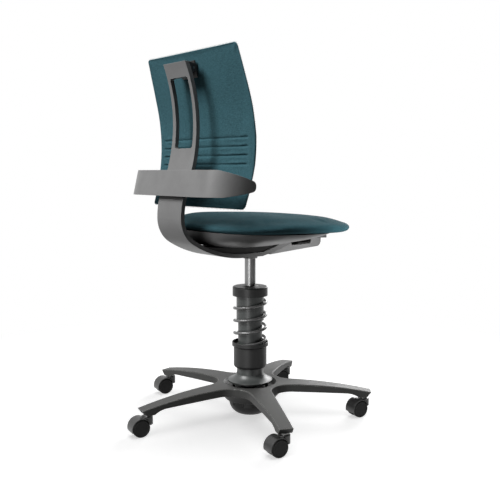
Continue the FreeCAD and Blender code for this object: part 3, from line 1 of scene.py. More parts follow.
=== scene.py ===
import math
import bmesh
import bpy
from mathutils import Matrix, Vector
from mathutils.bvhtree import BVHTree


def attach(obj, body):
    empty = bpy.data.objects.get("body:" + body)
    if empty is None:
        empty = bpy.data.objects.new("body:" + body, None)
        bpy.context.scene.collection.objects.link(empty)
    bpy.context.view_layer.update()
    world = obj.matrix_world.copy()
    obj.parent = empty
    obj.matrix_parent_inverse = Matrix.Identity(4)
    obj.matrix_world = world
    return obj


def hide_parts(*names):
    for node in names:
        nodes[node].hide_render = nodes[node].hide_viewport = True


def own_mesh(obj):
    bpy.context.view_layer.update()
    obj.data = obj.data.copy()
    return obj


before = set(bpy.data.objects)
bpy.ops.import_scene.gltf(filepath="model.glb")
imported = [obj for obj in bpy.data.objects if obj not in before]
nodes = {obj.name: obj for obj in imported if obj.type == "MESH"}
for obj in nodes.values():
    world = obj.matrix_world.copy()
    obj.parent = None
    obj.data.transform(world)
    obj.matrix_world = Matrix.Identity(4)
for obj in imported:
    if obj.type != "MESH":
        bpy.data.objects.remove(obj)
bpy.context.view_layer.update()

# An active office chair: wool upholstery on a satin grey band, a sprung column and a five-arm base.
# Metres, in the frame of the solids: +Z up, the sitter faces -Y, the origin is on the floor.

scene = bpy.context.scene
scene.view_settings.view_transform = "Standard"


# Sizes of the pieces made here

PANEL_LOW, PANEL_HIGH = 0.548, 0.915
PANEL_LOINS = 0.701
PANEL_HALF, PANEL_TOP_HALF, PANEL_LOW_HALF = 0.1905, 0.180, 0.186
PANEL_CORNER = 0.010
CORNER_ANGLES = (22.5, 45, 67.5, 90)
CHANNELS = (0.7110, 0.6907, 0.6704, 0.6501)
CHANNEL_DEPTH = 0.0030
CHANNEL_SPREAD = 0.0042
CHANNEL_MARGIN = 0.022
CHANNEL_FADE = 0.010
CHANNEL_SHARPNESS = 1.6
CHANNEL_ROWS = (-1.0, -0.5, -0.22, 0.0, 0.22, 0.5, 1.0)
PANEL_COLUMNS = 97
PANEL_ROW = 0.0042
PANEL_INSET = 0.0012
PANEL_SLACK = 0.0012
PANEL_SWELL = 0.003
SEAT_WELD = 0.00002
SEAT_VOXEL = 0.005
SEAT_SWELL = 0.003
SEAT_DRAW_IN = 0.0015
SEAT_HELD = 0.25
SEAT_FALL, SEAT_FALL_START, SEAT_REAR = 0.010, 0.05, 0.19
RELAX_SHARE, RELAX_TIMES = 0.5, 6
SPRING_FLOOR, SPRING_TOP = 0.18805, 0.31045
SPRING_RADIUS, SPRING_WIRE = 0.0408, 0.0075
SPRING_TURNS, SPRING_START = 3.75, 107
SPRING_STEPS, WIRE_SIDES = 48, 16
STITCH_PITCH, STITCH_LENGTH, STITCH_THREAD = 0.0050, 0.0034, 0.0007
STITCH_SIDES, STITCH_RINGS = 6, 5
PRESSURE, SETTLE_FRAMES = 4.0, 20


# Floor, light and camera: metres, degrees and linear light, the sensor and the lens in millimetres

FLOOR_REACH = 30
FLOOR_FADE = (0.55, 1.3)
FLOOR_SEEN = (0.8, 0.8, 0.8, 1)
FLOOR_BOUNCE = (0.3, 0.3, 0.3, 1)
FLOOR_GLOW = 0.6
FLOOR_GLOSS, FLOOR_ROUGHNESS = 0.1, 0.9
WHITE = (1, 1, 1, 1)
AMBIENT = 0.10
FLAG_FROM, FLAG_TO, FLAG_STEPS = 130, 262, 28
FLAG_REACH, FLAG_HEIGHT = 1.7, 1.9
FLAG_BLACK = (0.01, 0.01, 0.01, 1)
SENSOR_WIDTH, LENS_LENGTH = 36, 52.7
CAMERA_PLACE = (-1.442, 1.204, 0.635)
CAMERA_HEADING, CAMERA_PITCH = (0.768, -0.641), 6.16


# Finishes: sizes and depths in metres, ranges of noise to spread out, and shares

CORE, WIDE, BROAD, LOWER, UPPER = (0.35, 0.65), (0.3, 0.7), (0.2, 0.8), (0.3, 0.6), (0.55, 0.8)
EDGE_SAMPLES = 6
CLOUD_SIZE, CLOUD_DETAIL, CLOUD_SHADE, CLOUD_SHEEN = 0.045, 3.0, 0.88, 0.03
GRAIN_DETAIL, GRAIN_ROUGHNESS, GRAIN_SHEEN = 2.0, 0.7, 0.04
# How far the painted edge highlight reaches in from a sharp edge
EDGE_HIGHLIGHT_REACH = 0.25
DRAWN_SIZE, DRAWN_DETAIL, DRAWN_DEPTH, DRAWN_SHADE = 0.0006, 3.0, 0.00004, 0.8
DRAWN_SMOOTHER, DRAWN_ROUGHER = 0.05, 0.07
STAIN_SIZE, STAIN_SHEEN = 0.03, 0.03
WOOL_GLOSS, WOOL_SHEEN, WOOL_SHEEN_ROUGHNESS = 0.08, 0.05, 0.45
YARN_PITCH, YARN_STRETCH, YARN_GRAIN = 0.0017, 9, 0.6
YARN_DETAIL, YARN_ROUGHNESS = 2.0, 0.5
YARN_RANGE, CROSSING = (0.38, 0.62), (-0.2, 0.2)
NAP_SIZE, NAP_DETAIL, NAP_SHARE = 0.0009, 3.0, 0.35
NAP_ROUGHNESS = (0.82, 0.98)
FADE_SIZE, FADE_DETAIL, FADE_SHARE = 0.06, 3.0, 0.35
WEAVE_RISE, NAP_RISE, WOOL_DEPTH = 0.35, 0.8, 0.00025
THREAD_GLOSS, THREAD_TWIST, THREAD_DEPTH = 0.3, 0.0004, 0.0002
THREAD_STRETCH, THREAD_ROUGHNESS = (1, 1, 4), (0.6, 0.8)


class Finish:
    """A material under construction: adds nodes and joins their sockets."""

    def __init__(self, name, metallic=0.0, specular=0.5):
        self.material = bpy.data.materials.new(name)
        self.material.use_nodes = True
        self.tree = self.material.node_tree
        self.shader = self.tree.nodes["Principled BSDF"]
        self.shader.inputs["Metallic"].default_value = metallic
        self.shader.inputs["Specular IOR Level"].default_value = specular

    def node(self, kind, settings=None, **inputs):
        made = self.tree.nodes.new(kind)
        for name, value in (settings or {}).items():
            setattr(made, name, value)
        for name, value in inputs.items():
            self.feed(made.inputs[name.replace("_", " ")], value)
        return made

    def feed(self, socket, value):
        if isinstance(value, bpy.types.NodeSocket):
            self.tree.links.new(value, socket)
        else:
            socket.default_value = value

    def place(self, scale=(1, 1, 1), turn=(0, 0, 0)):
        """Object coordinates, stretched and turned."""
        where = self.node("ShaderNodeTexCoord")
        mapped = self.node("ShaderNodeMapping", Vector=where.outputs["Object"])
        mapped.inputs["Scale"].default_value = scale
        mapped.inputs["Rotation"].default_value = [math.radians(angle) for angle in turn]
        return mapped.outputs["Vector"]

    def grain(self, size, detail=4.0, rough=0.6, stretch=(1, 1, 1)):
        noise = self.node("ShaderNodeTexNoise", Vector=self.place(stretch))
        noise.inputs["Scale"].default_value = 1 / size
        noise.inputs["Detail"].default_value = detail
        noise.inputs["Roughness"].default_value = rough
        return noise.outputs["Fac"]

    def ramp(self, value, low, high, start=0.0, end=1.0):
        """The value spread from low..high onto start..end."""
        spread = self.node("ShaderNodeMapRange", Value=value)
        spread.inputs["From Min"].default_value = low
        spread.inputs["From Max"].default_value = high
        spread.inputs["To Min"].default_value = start
        spread.inputs["To Max"].default_value = end
        return spread.outputs["Result"]

    def math(self, kind, first, second=0.0):
        made = self.node("ShaderNodeMath", {"operation": kind})
        self.feed(made.inputs[0], first)
        self.feed(made.inputs[1], second)
        return made.outputs["Value"]

    def mix(self, share, first, second):
        made = self.node("ShaderNodeMix", {"data_type": "RGBA"})
        self.feed(made.inputs["Factor"], share)
        self.feed(made.inputs[6], first)
        self.feed(made.inputs[7], second)
        return made.outputs[2]

    def rounded(self, radius):
        """A normal that turns softly over the solid's sharp edges."""
        edge = self.node("ShaderNodeBevel", {"samples": EDGE_SAMPLES})
        edge.inputs["Radius"].default_value = radius
        return edge.outputs["Normal"]

    def edge_mask(self, radius, reach):
        """1 along sharp edges, 0 on faces: where the painted edge highlight goes."""
        soft = self.rounded(radius)
        flat = self.node("ShaderNodeNewGeometry").outputs["Normal"]
        dot = self.node("ShaderNodeVectorMath", {"operation": "DOT_PRODUCT"})
        self.feed(dot.inputs[0], soft)
        self.feed(dot.inputs[1], flat)
        return self.ramp(dot.outputs["Value"], 1.0, 1.0 - reach)

    def bump(self, height, depth, normal=None):
        made = self.node("ShaderNodeBump", Height=height)
        made.inputs["Distance"].default_value = depth
        if normal is not None:
            self.feed(made.inputs["Normal"], normal)
        return made.outputs["Normal"]

    def finish(self, colour, roughness, normal):
        self.feed(self.shader.inputs["Base Color"], colour)
        self.feed(self.shader.inputs["Roughness"], roughness)
        self.feed(self.shader.inputs["Normal"], normal)
        return self.material


def rgb(red, green, blue):
    """A screen colour of 0..255 as linear light."""
    def linear(part):
        part /= 255
        return part / 12.92 if part <= 0.04045 else ((part + 0.055) / 1.055) ** 2.4
    return linear(red), linear(green), linear(blue), 1.0


def shaded(colour, share):
    """The colour at a share of its light."""
    return tuple(part * share for part in colour[:3]) + (1.0,)


def hard_finish(name, colour, edge_highlight, gloss, rough, grain, depth, edge=0.0009, metallic=0.0):
    """Paint or moulded plastic: fine grain, faint clouding and sharp edges painted lighter, as a highlight in
    place of the light their rounding would catch.
    """
    made = Finish(name, metallic, gloss)
    cloud = made.grain(CLOUD_SIZE, CLOUD_DETAIL)
    fine = made.grain(grain, GRAIN_DETAIL, GRAIN_ROUGHNESS)
    face = made.mix(made.ramp(cloud, *CORE), shaded(colour, CLOUD_SHADE), colour)
    # Painted highlight: the sharp edges blend towards the lighter edge colour, broken up by the fine grain
    rim = made.math("MULTIPLY", made.edge_mask(edge, EDGE_HIGHLIGHT_REACH), made.ramp(fine, *LOWER))
    tone = made.mix(rim, face, edge_highlight)
    clouded = made.ramp(cloud, *WIDE, rough - CLOUD_SHEEN, rough + CLOUD_SHEEN)
    grained = made.ramp(fine, 0.0, 1.0, -GRAIN_SHEEN, GRAIN_SHEEN)
    sheen = made.math("ADD", clouded, grained)
    return made.finish(tone, sheen, made.bump(fine, depth, made.rounded(edge)))


def brushed_finish(name, colour, rough, stretch, edge=0.0005):
    """Bare metal with fine drawn lines."""
    made = Finish(name, 1.0)
    lines = made.grain(DRAWN_SIZE, DRAWN_DETAIL, stretch=stretch)
    stain = made.grain(STAIN_SIZE, CLOUD_DETAIL)
    tone = made.mix(made.ramp(lines, *WIDE), shaded(colour, DRAWN_SHADE), colour)
    drawn = made.ramp(lines, *BROAD, rough - DRAWN_SMOOTHER, rough + DRAWN_ROUGHER)
    stained = made.ramp(stain, *WIDE, -STAIN_SHEEN, STAIN_SHEEN)
    sheen = made.math("ADD", drawn, stained)
    return made.finish(tone, sheen, made.bump(lines, DRAWN_DEPTH, made.rounded(edge)))


def wool_finish(name, across, along):
    """Woven wool: two sets of yarns over and under each other, heathered, with a felted nap."""
    made = Finish(name, 0.0, WOOL_GLOSS)
    made.shader.inputs["Sheen Weight"].default_value = WOOL_SHEEN
    made.shader.inputs["Sheen Roughness"].default_value = WOOL_SHEEN_ROUGHNESS
    made.shader.inputs["Sheen Tint"].default_value = rgb(120, 165, 175)
    turn = 2 * math.pi / YARN_PITCH
    where = made.node("ShaderNodeSeparateXYZ", Vector=made.place())
    first = made.math("SINE", made.math("MULTIPLY", where.outputs[across], turn))
    second = made.math("SINE", made.math("MULTIPLY", where.outputs[along], turn))
    weave = made.math("MULTIPLY", first, second)
    thin = 1 / YARN_STRETCH
    stretches = {"X": (thin, 1, 1), "Y": (1, thin, 1), "Z": (1, 1, thin)}
    weft = made.grain(YARN_PITCH * YARN_GRAIN, YARN_DETAIL, YARN_ROUGHNESS, stretches[across])
    warp = made.grain(YARN_PITCH * YARN_GRAIN, YARN_DETAIL, YARN_ROUGHNESS, stretches[along])
    over = made.ramp(weave, *CROSSING)
    yarn = made.math("ADD", made.math("MULTIPLY", over, weft),
                     made.math("MULTIPLY", made.math("SUBTRACT", 1.0, over), warp))
    nap = made.grain(NAP_SIZE, NAP_DETAIL, GRAIN_ROUGHNESS)
    cloud = made.grain(FADE_SIZE, FADE_DETAIL, YARN_ROUGHNESS)
    heather = made.mix(made.ramp(yarn, *YARN_RANGE), rgb(36, 63, 70), rgb(55, 88, 96))
    faded = made.mix(made.ramp(cloud, *CORE, 0.0, FADE_SHARE), heather, rgb(50, 84, 92))
    tone = made.mix(made.ramp(nap, *UPPER, 0.0, NAP_SHARE), faded, rgb(84, 122, 130))
    fuzz = made.math("ADD", yarn, made.math("MULTIPLY", nap, NAP_RISE))
    height = made.math("ADD", made.math("MULTIPLY", weave, WEAVE_RISE), fuzz)
    return made.finish(tone, made.ramp(nap, *BROAD, *NAP_ROUGHNESS), made.bump(height, WOOL_DEPTH))


def thread_finish():
    """Twisted sewing thread."""
    made = Finish("sewing_thread", 0.0, THREAD_GLOSS)
    twist = made.grain(THREAD_TWIST, YARN_DETAIL, YARN_ROUGHNESS, THREAD_STRETCH)
    tone = made.mix(made.ramp(twist, *CORE), rgb(20, 38, 44), rgb(40, 66, 73))
    return made.finish(tone, made.ramp(twist, *BROAD, *THREAD_ROUGHNESS), made.bump(twist, THREAD_DEPTH))


# The second colour of each hard finish is the painted highlight along its sharp edges
FINISHES = {
    "frame_grey": hard_finish("satin_grey_paint", rgb(105, 105, 105), edge_highlight=rgb(142, 142, 142), gloss=0.22,
                              rough=0.4, grain=0.0009, depth=0.00004, edge=0.0014),
    "base_grey": hard_finish("cast_grey_paint", rgb(63, 63, 62), edge_highlight=rgb(190, 190, 187), gloss=0.2,
                             rough=0.5, grain=0.0012, depth=0.00008, edge=0.0018),
    "column_grey": hard_finish("column_grey_paint", rgb(66, 69, 68), edge_highlight=rgb(100, 103, 101), gloss=0.5,
                               rough=0.38, grain=0.0009, depth=0.00004),
    "black_plastic": hard_finish("matt_black_plastic", rgb(40, 40, 40), edge_highlight=rgb(68, 68, 68), gloss=0.3,
                                 rough=0.42, grain=0.0010, depth=0.00008),
    "pan_plastic": hard_finish("satin_pan_plastic", rgb(72, 72, 72), edge_highlight=rgb(94, 94, 94), gloss=0.3,
                               rough=0.42, grain=0.0010, depth=0.00002),
    "caster_plastic": hard_finish("caster_hood_plastic", rgb(30, 30, 30), edge_highlight=rgb(70, 70, 70), gloss=0.55,
                                  rough=0.3, grain=0.0010, depth=0.00006),
    "wheel_plastic": hard_finish("caster_tread", rgb(24, 24, 24), edge_highlight=rgb(44, 44, 44), gloss=0.2,
                                 rough=0.46, grain=0.0010, depth=0.00008),
    "steel": brushed_finish("drawn_steel", rgb(140, 140, 140), rough=0.38, stretch=(1, 1, 0.02)),
    "dark_steel": brushed_finish("blackened_steel", rgb(104, 104, 104), rough=0.36, stretch=(1, 1, 0.05)),
    "bearing": hard_finish("bearing_plastic", rgb(188, 184, 172), edge_highlight=rgb(206, 202, 192), gloss=0.4,
                           rough=0.45, grain=0.0012, depth=0.00005),
}
back_wool = wool_finish("back_wool", "X", "Z")
seat_wool = wool_finish("seat_wool", "X", "Y")
thread = thread_finish()
# A lighter copy of the frame's grey for the seat carrier: painted light, standing in for the light its shaded
# sides do not get from the lamps
carrier_lightened_paint = hard_finish("lightened_carrier_paint", rgb(128, 128, 128), edge_highlight=rgb(150, 150, 150), gloss=0.25,
                            rough=0.44, grain=0.0010, depth=0.00006, edge=0.0014, metallic=0.1)
FINISHES["upholstery"] = seat_wool

for part in nodes.values():
    for place in part.material_slots:
        place.material = FINISHES[place.material.name.split(".")[0]]
# The seat carrier takes the lighter, painted-light copy of the frame's grey
nodes["seat_carrier"].material_slots[0].material = carrier_lightened_paint


# Making pieces

def new_piece(name, mesh, finish):
    piece = bpy.data.objects.new(name, mesh)
    scene.collection.objects.link(piece)
    mesh.materials.clear()
    mesh.materials.append(finish)
    for face in mesh.polygons:
        face.use_smooth = True
    return piece


def baked(piece):
    """The piece with its modifiers turned into plain mesh."""
    graph = bpy.context.evaluated_depsgraph_get()
    mesh = bpy.data.meshes.new_from_object(piece.evaluated_get(graph))
    piece.modifiers.clear()
    piece.data = mesh
    return piece


def surface_of(name):
    """A tree of one solid's faces, for finding where its surface is."""
    mesh = nodes[name].data
    points = [vertex.co.copy() for vertex in mesh.vertices]
    return BVHTree.FromPolygons(points, [tuple(face.vertices) for face in mesh.polygons])


def swell(piece, held, most):
    """Fills a closed cover by cloth under pressure, held where it is sewn or fixed, up to a limit."""
    before = [vertex.co.copy() for vertex in piece.data.vertices]
    group = piece.vertex_groups.new(name="held")
    group.add(held, 1.0, "REPLACE")
    cloth = piece.modifiers.new("fill", "CLOTH")
    cloth.settings.use_pressure = True
    cloth.settings.uniform_pressure_force = PRESSURE
    cloth.settings.effector_weights.gravity = 0
    cloth.settings.vertex_group_mass = "held"
    cloth.collision_settings.use_collision = False
    cloth.point_cache.frame_start = 1
    cloth.point_cache.frame_end = SETTLE_FRAMES
    for number in range(1, SETTLE_FRAMES + 1):
        scene.frame_set(number)
    graph = bpy.context.evaluated_depsgraph_get()
    filled = piece.evaluated_get(graph).data
    after = [vertex.co.copy() for vertex in filled.vertices]
    piece.modifiers.clear()
    scene.frame_set(1)
    for vertex, start, end in zip(piece.data.vertices, before, after):
        move = end - start
        if move.length > most:
            move *= most / move.length
        vertex.co = start + move
    piece.vertex_groups.clear()


def relaxed(mesh, share, times, free):
    """Evens out the listed points towards their neighbours."""
    work = bmesh.new()
    work.from_mesh(mesh)
    work.verts.ensure_lookup_table()
    for _ in range(times):
        bmesh.ops.smooth_vert(work, verts=[work.verts[index] for index in free], factor=share,
                              use_axis_x=True, use_axis_y=True, use_axis_z=True)
    work.to_mesh(mesh)
    work.free()


def eased(share):
    """A share held to 0..1, with a soft start and end."""
    share = max(0.0, min(1.0, share))
    return share * share * (3 - 2 * share)


# Back panel

def panel_half(height):
    """Half width of the panel at a height, with its rounded corners."""
    end = PANEL_HIGH if height > PANEL_LOINS else PANEL_LOW
    share = (height - PANEL_LOINS) / (end - PANEL_LOINS)
    end_half = PANEL_TOP_HALF if height > PANEL_LOINS else PANEL_LOW_HALF
    half = PANEL_HALF + (end_half - PANEL_HALF) * share ** 2
    into = max(height - (PANEL_HIGH - PANEL_CORNER), PANEL_LOW + PANEL_CORNER - height, 0)
    return half - PANEL_CORNER + math.sqrt(max(PANEL_CORNER ** 2 - into ** 2, 0))


def panel_rows():
    """Heights of the rows: even steps, closed up at the channels and the corners."""
    rows = {PANEL_LOW, PANEL_HIGH}
    for angle in CORNER_ANGLES:
        rise = PANEL_CORNER * (1 - math.cos(math.radians(angle)))
        rows.update((PANEL_LOW + rise, PANEL_HIGH - rise))
    for height in CHANNELS:
        for share in CHANNEL_ROWS:
            rows.add(height + CHANNEL_SPREAD * share)
    taken = sorted(rows)
    for low, high in zip(taken, taken[1:]):
        steps = int((high - low) / PANEL_ROW)
        rows.update(low + (high - low) * step / (steps + 1) for step in range(1, steps + 1))
    return sorted(rows)


def crease(height, x, half):
    """How deep the nearest sewn channel draws the cover in: 0 to 1."""
    off = min(abs(height - channel) for channel in CHANNELS)
    fade = eased((half - CHANNEL_MARGIN - abs(x)) / CHANNEL_FADE)
    return max(0.0, 1 - off / CHANNEL_SPREAD) ** CHANNEL_SHARPNESS * fade


def back_panel():
    """The back's cover: two faces sewn together round the edge, filled, and drawn in at the sewn channels."""
    rear_face, front_face = surface_of("back_cover"), surface_of("back_pad")
    rows = panel_rows()
    points = []
    grids = {"rear": [], "front": []}
    for height in rows:
        half = panel_half(height)
        seen = min(max(height, PANEL_LOW + PANEL_INSET), PANEL_HIGH - PANEL_INSET)
        line = {"rear": [], "front": []}
        for column in range(PANEL_COLUMNS):
            x = half * (2 * column / (PANEL_COLUMNS - 1) - 1)
            inner = max(-half + PANEL_INSET, min(half - PANEL_INSET, x))
            rear = rear_face.ray_cast(Vector((inner, 1, seen)), Vector((0, -1, 0)))[0].y
            front = front_face.ray_cast(Vector((inner, -1, seen)), Vector((0, 1, 0)))[0].y
            rim = column in (0, PANEL_COLUMNS - 1) or height in (rows[0], rows[-1])
            for side, depth in (("rear", rear - PANEL_SLACK), ("front", front + PANEL_SLACK)):
                line[side].append(len(points))
                points.append(Vector((inner if rim else x, depth, seen if rim else height)))
        grids["rear"].append(line["rear"])
        grids["front"].append(line["front"])
    faces = []
    for side, flip in (("rear", False), ("front", True)):
        grid = grids[side]
        for j in range(len(rows) - 1):
            for i in range(PANEL_COLUMNS - 1):
                quad = (grid[j][i], grid[j + 1][i], grid[j + 1][i + 1], grid[j][i + 1])
                faces.append(quad[::-1] if flip else quad)
    last_row, last_column = len(rows) - 1, PANEL_COLUMNS - 1
    loop = [(0, i) for i in range(PANEL_COLUMNS)]
    loop += [(j, last_column) for j in range(1, last_row + 1)]
    loop += [(last_row, i) for i in range(last_column - 1, -1, -1)]
    loop += [(j, 0) for j in range(last_row - 1, 0, -1)]
    middle = []
    for j, i in loop:
        back, fore = points[grids["rear"][j][i]], points[grids["front"][j][i]]
        half = panel_half(rows[j])
        x = half * (2 * i / last_column - 1)
        middle.append(len(points))
        points.append(Vector((x, (back.y + fore.y) / 2, rows[j])))
    for index, (j, i) in enumerate(loop):
        after = (index + 1) % len(loop)
        k, m = loop[after]
        back, back_next = grids["rear"][j][i], grids["rear"][k][m]
        fore, fore_next = grids["front"][j][i], grids["front"][k][m]
        faces.append((back, back_next, middle[after], middle[index]))
        faces.append((middle[index], middle[after], fore_next, fore))
    mesh = bpy.data.meshes.new("back_panel")
    mesh.from_pydata(points, [], faces)
    mesh.update()
    work = bmesh.new()
    work.from_mesh(mesh)
    bmesh.ops.recalc_face_normals(work, faces=work.faces)
    work.to_mesh(mesh)
    work.free()
    piece = new_piece("back_upholstery", mesh, back_wool)
    held = list(middle)
    for side in ("rear", "front"):
        for j, height in enumerate(rows):
            if height in CHANNELS:
                half = panel_half(height)
                held += [index for index in grids[side][j] if abs(points[index].x) < half - CHANNEL_MARGIN]
    swell(piece, held, PANEL_SWELL)
    for side, way in (("rear", -1), ("front", 1)):
        for j, height in enumerate(rows):
            half = panel_half(height)
            for index in grids[side][j]:
                vertex = mesh.vertices[index]
                vertex.co.y += way * CHANNEL_DEPTH * crease(height, vertex.co.x, half)
    lines = []
    for j, height in enumerate(rows):
        if height in CHANNELS:
            half = panel_half(height)
            for side in ("rear", "front"):
                lines.append([mesh.vertices[index].co.copy() for index in grids[side][j]
                              if abs(points[index].x) < half - CHANNEL_MARGIN])
    lines.append([mesh.vertices[index].co.copy() for index in middle + middle[:1]])
    finer = piece.modifiers.new("finer", "SUBSURF")
    finer.levels = finer.render_levels = 1
    return baked(piece), lines


# Seat cushion

def seat_cushion():
    """The seat's cover over its foam: crowned, lower behind, held on the pan and round its widest line."""
    mesh = nodes["seat_cushion"].data.copy()
    work = bmesh.new()
    work.from_mesh(mesh)
    bmesh.ops.remove_doubles(work, verts=work.verts, dist=SEAT_WELD)
    work.to_mesh(mesh)
    work.free()
    piece = new_piece("seat_upholstery", mesh, seat_wool)
    remesh = piece.modifiers.new("even", "REMESH")
    remesh.mode = "VOXEL"
    remesh.voxel_size = SEAT_VOXEL
    baked(piece)
    mesh = piece.data
    for vertex, normal in zip(mesh.vertices, [item.vector.copy() for item in mesh.vertex_normals]):
        vertex.co -= normal * SEAT_DRAW_IN
    everywhere = range(len(mesh.vertices))
    relaxed(mesh, RELAX_SHARE, RELAX_TIMES, everywhere)
    mesh.update()
    bottom = min(vertex.co.z for vertex in mesh.vertices)
    crown = max(vertex.co.z for vertex in mesh.vertices)
    for vertex in mesh.vertices:
        back = eased((vertex.co.y - SEAT_FALL_START) / (SEAT_REAR - SEAT_FALL_START))
        up = (vertex.co.z - bottom) / (crown - bottom)
        vertex.co.z -= SEAT_FALL * back * up
    mesh.update()
    held = [index for index, normal in enumerate(mesh.vertex_normals) if normal.vector.z < SEAT_HELD]
    swell(piece, held, SEAT_SWELL)
    relaxed(mesh, RELAX_SHARE, RELAX_TIMES, everywhere)
    finer = piece.modifiers.new("finer", "SUBSURF")
    finer.levels = finer.render_levels = 1
    return baked(piece)


# Node trees for what follows a path

def node_tree(name, labels):
    """A geometry tree with named sizes; returns it with the sockets' identifiers."""
    tree = bpy.data.node_groups.new(name, "GeometryNodeTree")
    tree.interface.new_socket("Geometry", in_out="INPUT", socket_type="NodeSocketGeometry")
    tree.interface.new_socket("Geometry", in_out="OUTPUT", socket_type="NodeSocketGeometry")
    names = {}
    for label in labels:
        socket = tree.interface.new_socket(label, in_out="INPUT", socket_type="NodeSocketFloat")
        names[label] = socket.identifier
    return tree, names


def run_tree(piece, tree, names, sizes):
    modifier = piece.modifiers.new(tree.name, "NODES")
    modifier.node_group = tree
    for label, value in sizes.items():
        modifier[names[label]] = value
    return baked(piece)


def spring_tree(finish):
    """A wire wound into a coil."""
    tree, names = node_tree("coil_spring", ("Turns", "Radius", "Height", "Wire", "Start", "Floor"))
    add, join = tree.nodes.new, tree.links.new
    given, result = add("NodeGroupInput"), add("NodeGroupOutput")
    coil = add("GeometryNodeCurveSpiral")
    coil.inputs["Resolution"].default_value = SPRING_STEPS
    coil.inputs["Reverse"].default_value = True
    join(given.outputs["Turns"], coil.inputs["Rotations"])
    join(given.outputs["Radius"], coil.inputs["Start Radius"])
    join(given.outputs["Radius"], coil.inputs["End Radius"])
    join(given.outputs["Height"], coil.inputs["Height"])
    lift, turn = add("ShaderNodeCombineXYZ"), add("ShaderNodeCombineXYZ")
    join(given.outputs["Floor"], lift.inputs["Z"])
    join(given.outputs["Start"], turn.inputs["Z"])
    stand = add("GeometryNodeTransform")
    join(coil.outputs["Curve"], stand.inputs["Geometry"])
    join(lift.outputs["Vector"], stand.inputs["Translation"])
    join(turn.outputs["Vector"], stand.inputs["Rotation"])
    half = add("ShaderNodeMath")
    half.operation = "MULTIPLY"
    half.inputs[1].default_value = 0.5
    join(given.outputs["Wire"], half.inputs[0])
    section = add("GeometryNodeCurvePrimitiveCircle")
    section.inputs["Resolution"].default_value = WIRE_SIDES
    join(half.outputs["Value"], section.inputs["Radius"])
    wire = add("GeometryNodeCurveToMesh")
    wire.inputs["Fill Caps"].default_value = True
    join(stand.outputs["Geometry"], wire.inputs["Curve"])
    join(section.outputs["Curve"], wire.inputs["Profile Curve"])
    real, paint = add("GeometryNodeRealizeInstances"), add("GeometryNodeSetMaterial")
    paint.inputs["Material"].default_value = finish
    join(wire.outputs["Mesh"], real.inputs["Geometry"])
    join(real.outputs["Geometry"], paint.inputs["Geometry"])
    join(paint.outputs["Geometry"], result.inputs["Geometry"])
    return tree, names


def stitch_tree(finish):
    """Short threads laid end to end along a line."""
    tree, names = node_tree("stitches", ("Pitch", "Length", "Thread"))
    add, join = tree.nodes.new, tree.links.new
    given, result = add("NodeGroupInput"), add("NodeGroupOutput")
    line = add("GeometryNodeMeshToCurve")
    join(given.outputs["Geometry"], line.inputs["Mesh"])
    spaced = add("GeometryNodeResampleCurve")
    spaced.mode = "LENGTH"
    join(line.outputs["Curve"], spaced.inputs["Curve"])
    join(given.outputs["Pitch"], spaced.inputs["Length"])
    bead = add("GeometryNodeMeshUVSphere")
    bead.inputs["Segments"].default_value = STITCH_SIDES
    bead.inputs["Rings"].default_value = STITCH_RINGS
    bead.inputs["Radius"].default_value = 0.5
    shape = add("ShaderNodeCombineXYZ")
    join(given.outputs["Length"], shape.inputs["X"])
    join(given.outputs["Thread"], shape.inputs["Y"])
    join(given.outputs["Thread"], shape.inputs["Z"])
    along = add("GeometryNodeInputTangent")
    turn = add("FunctionNodeAlignRotationToVector")
    join(along.outputs["Tangent"], turn.inputs["Vector"])
    lay = add("GeometryNodeInstanceOnPoints")
    join(spaced.outputs["Curve"], lay.inputs["Points"])
    join(bead.outputs["Mesh"], lay.inputs["Instance"])
    join(turn.outputs["Rotation"], lay.inputs["Rotation"])
    join(shape.outputs["Vector"], lay.inputs["Scale"])
    real, paint = add("GeometryNodeRealizeInstances"), add("GeometryNodeSetMaterial")
    paint.inputs["Material"].default_value = finish
    join(lay.outputs["Instances"], real.inputs["Geometry"])
    join(real.outputs["Geometry"], paint.inputs["Geometry"])
    join(paint.outputs["Geometry"], result.inputs["Geometry"])
    return tree, names


def stitches(name, lines):
    """Stitches along lines of points."""
    points, edges = [], []
    for line in lines:
        first = len(points)
        points += line
        edges += [(first + k, first + k + 1) for k in range(len(line) - 1)]
    mesh = bpy.data.meshes.new(name)
    mesh.from_pydata(points, edges, [])
    piece = new_piece(name, mesh, thread)
    tree, names = stitch_tree(thread)
    sizes = {"Pitch": STITCH_PITCH, "Length": STITCH_LENGTH, "Thread": STITCH_THREAD}
    return run_tree(piece, tree, names, sizes)


def coil_spring():
    """The column's open spring, as a wound wire."""
    # Its second colour is the painted highlight along sharp edges
    finish = hard_finish("spring_wire_paint", rgb(108, 108, 108), edge_highlight=rgb(136, 136, 136), gloss=0.5,
                         rough=0.34, grain=0.0008, depth=0.00004, metallic=0.4)
    piece = new_piece("spring_coil", bpy.data.meshes.new("spring_coil"), finish)
    tree, names = spring_tree(finish)
    sizes = {"Turns": SPRING_TURNS, "Radius": SPRING_RADIUS, "Height": SPRING_TOP - SPRING_FLOOR,
             "Wire": SPRING_WIRE, "Start": math.radians(SPRING_START), "Floor": SPRING_FLOOR}
    return run_tree(piece, tree, names, sizes)


panel, seams = back_panel()
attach(panel, "back")
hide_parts("back_cover", "back_pad")

cushion = seat_cushion()
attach(cushion, "seat")
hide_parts("seat_cushion")

sewing = stitches("back_stitches", seams)
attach(sewing, "back")

spring = coil_spring()
for face in spring.data.polygons:
    face.use_smooth = True
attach(spring, "column")
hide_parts("coil_spring")
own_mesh(spring)


# Floor, light and camera

def plain_sight(tree):
    """1 where the camera, gloss or glass looks at a surface, 0 where it only sends soft light."""
    path = tree.nodes.new("ShaderNodeLightPath")
    seen = path.outputs["Is Camera Ray"]
    for name in ("Is Glossy Ray", "Is Transmission Ray"):
        either = tree.nodes.new("ShaderNodeMath")
        either.operation = "MAXIMUM"
        tree.links.new(seen, either.inputs[0])
        tree.links.new(path.outputs[name], either.inputs[1])
        seen = either.outputs["Value"]
    return seen


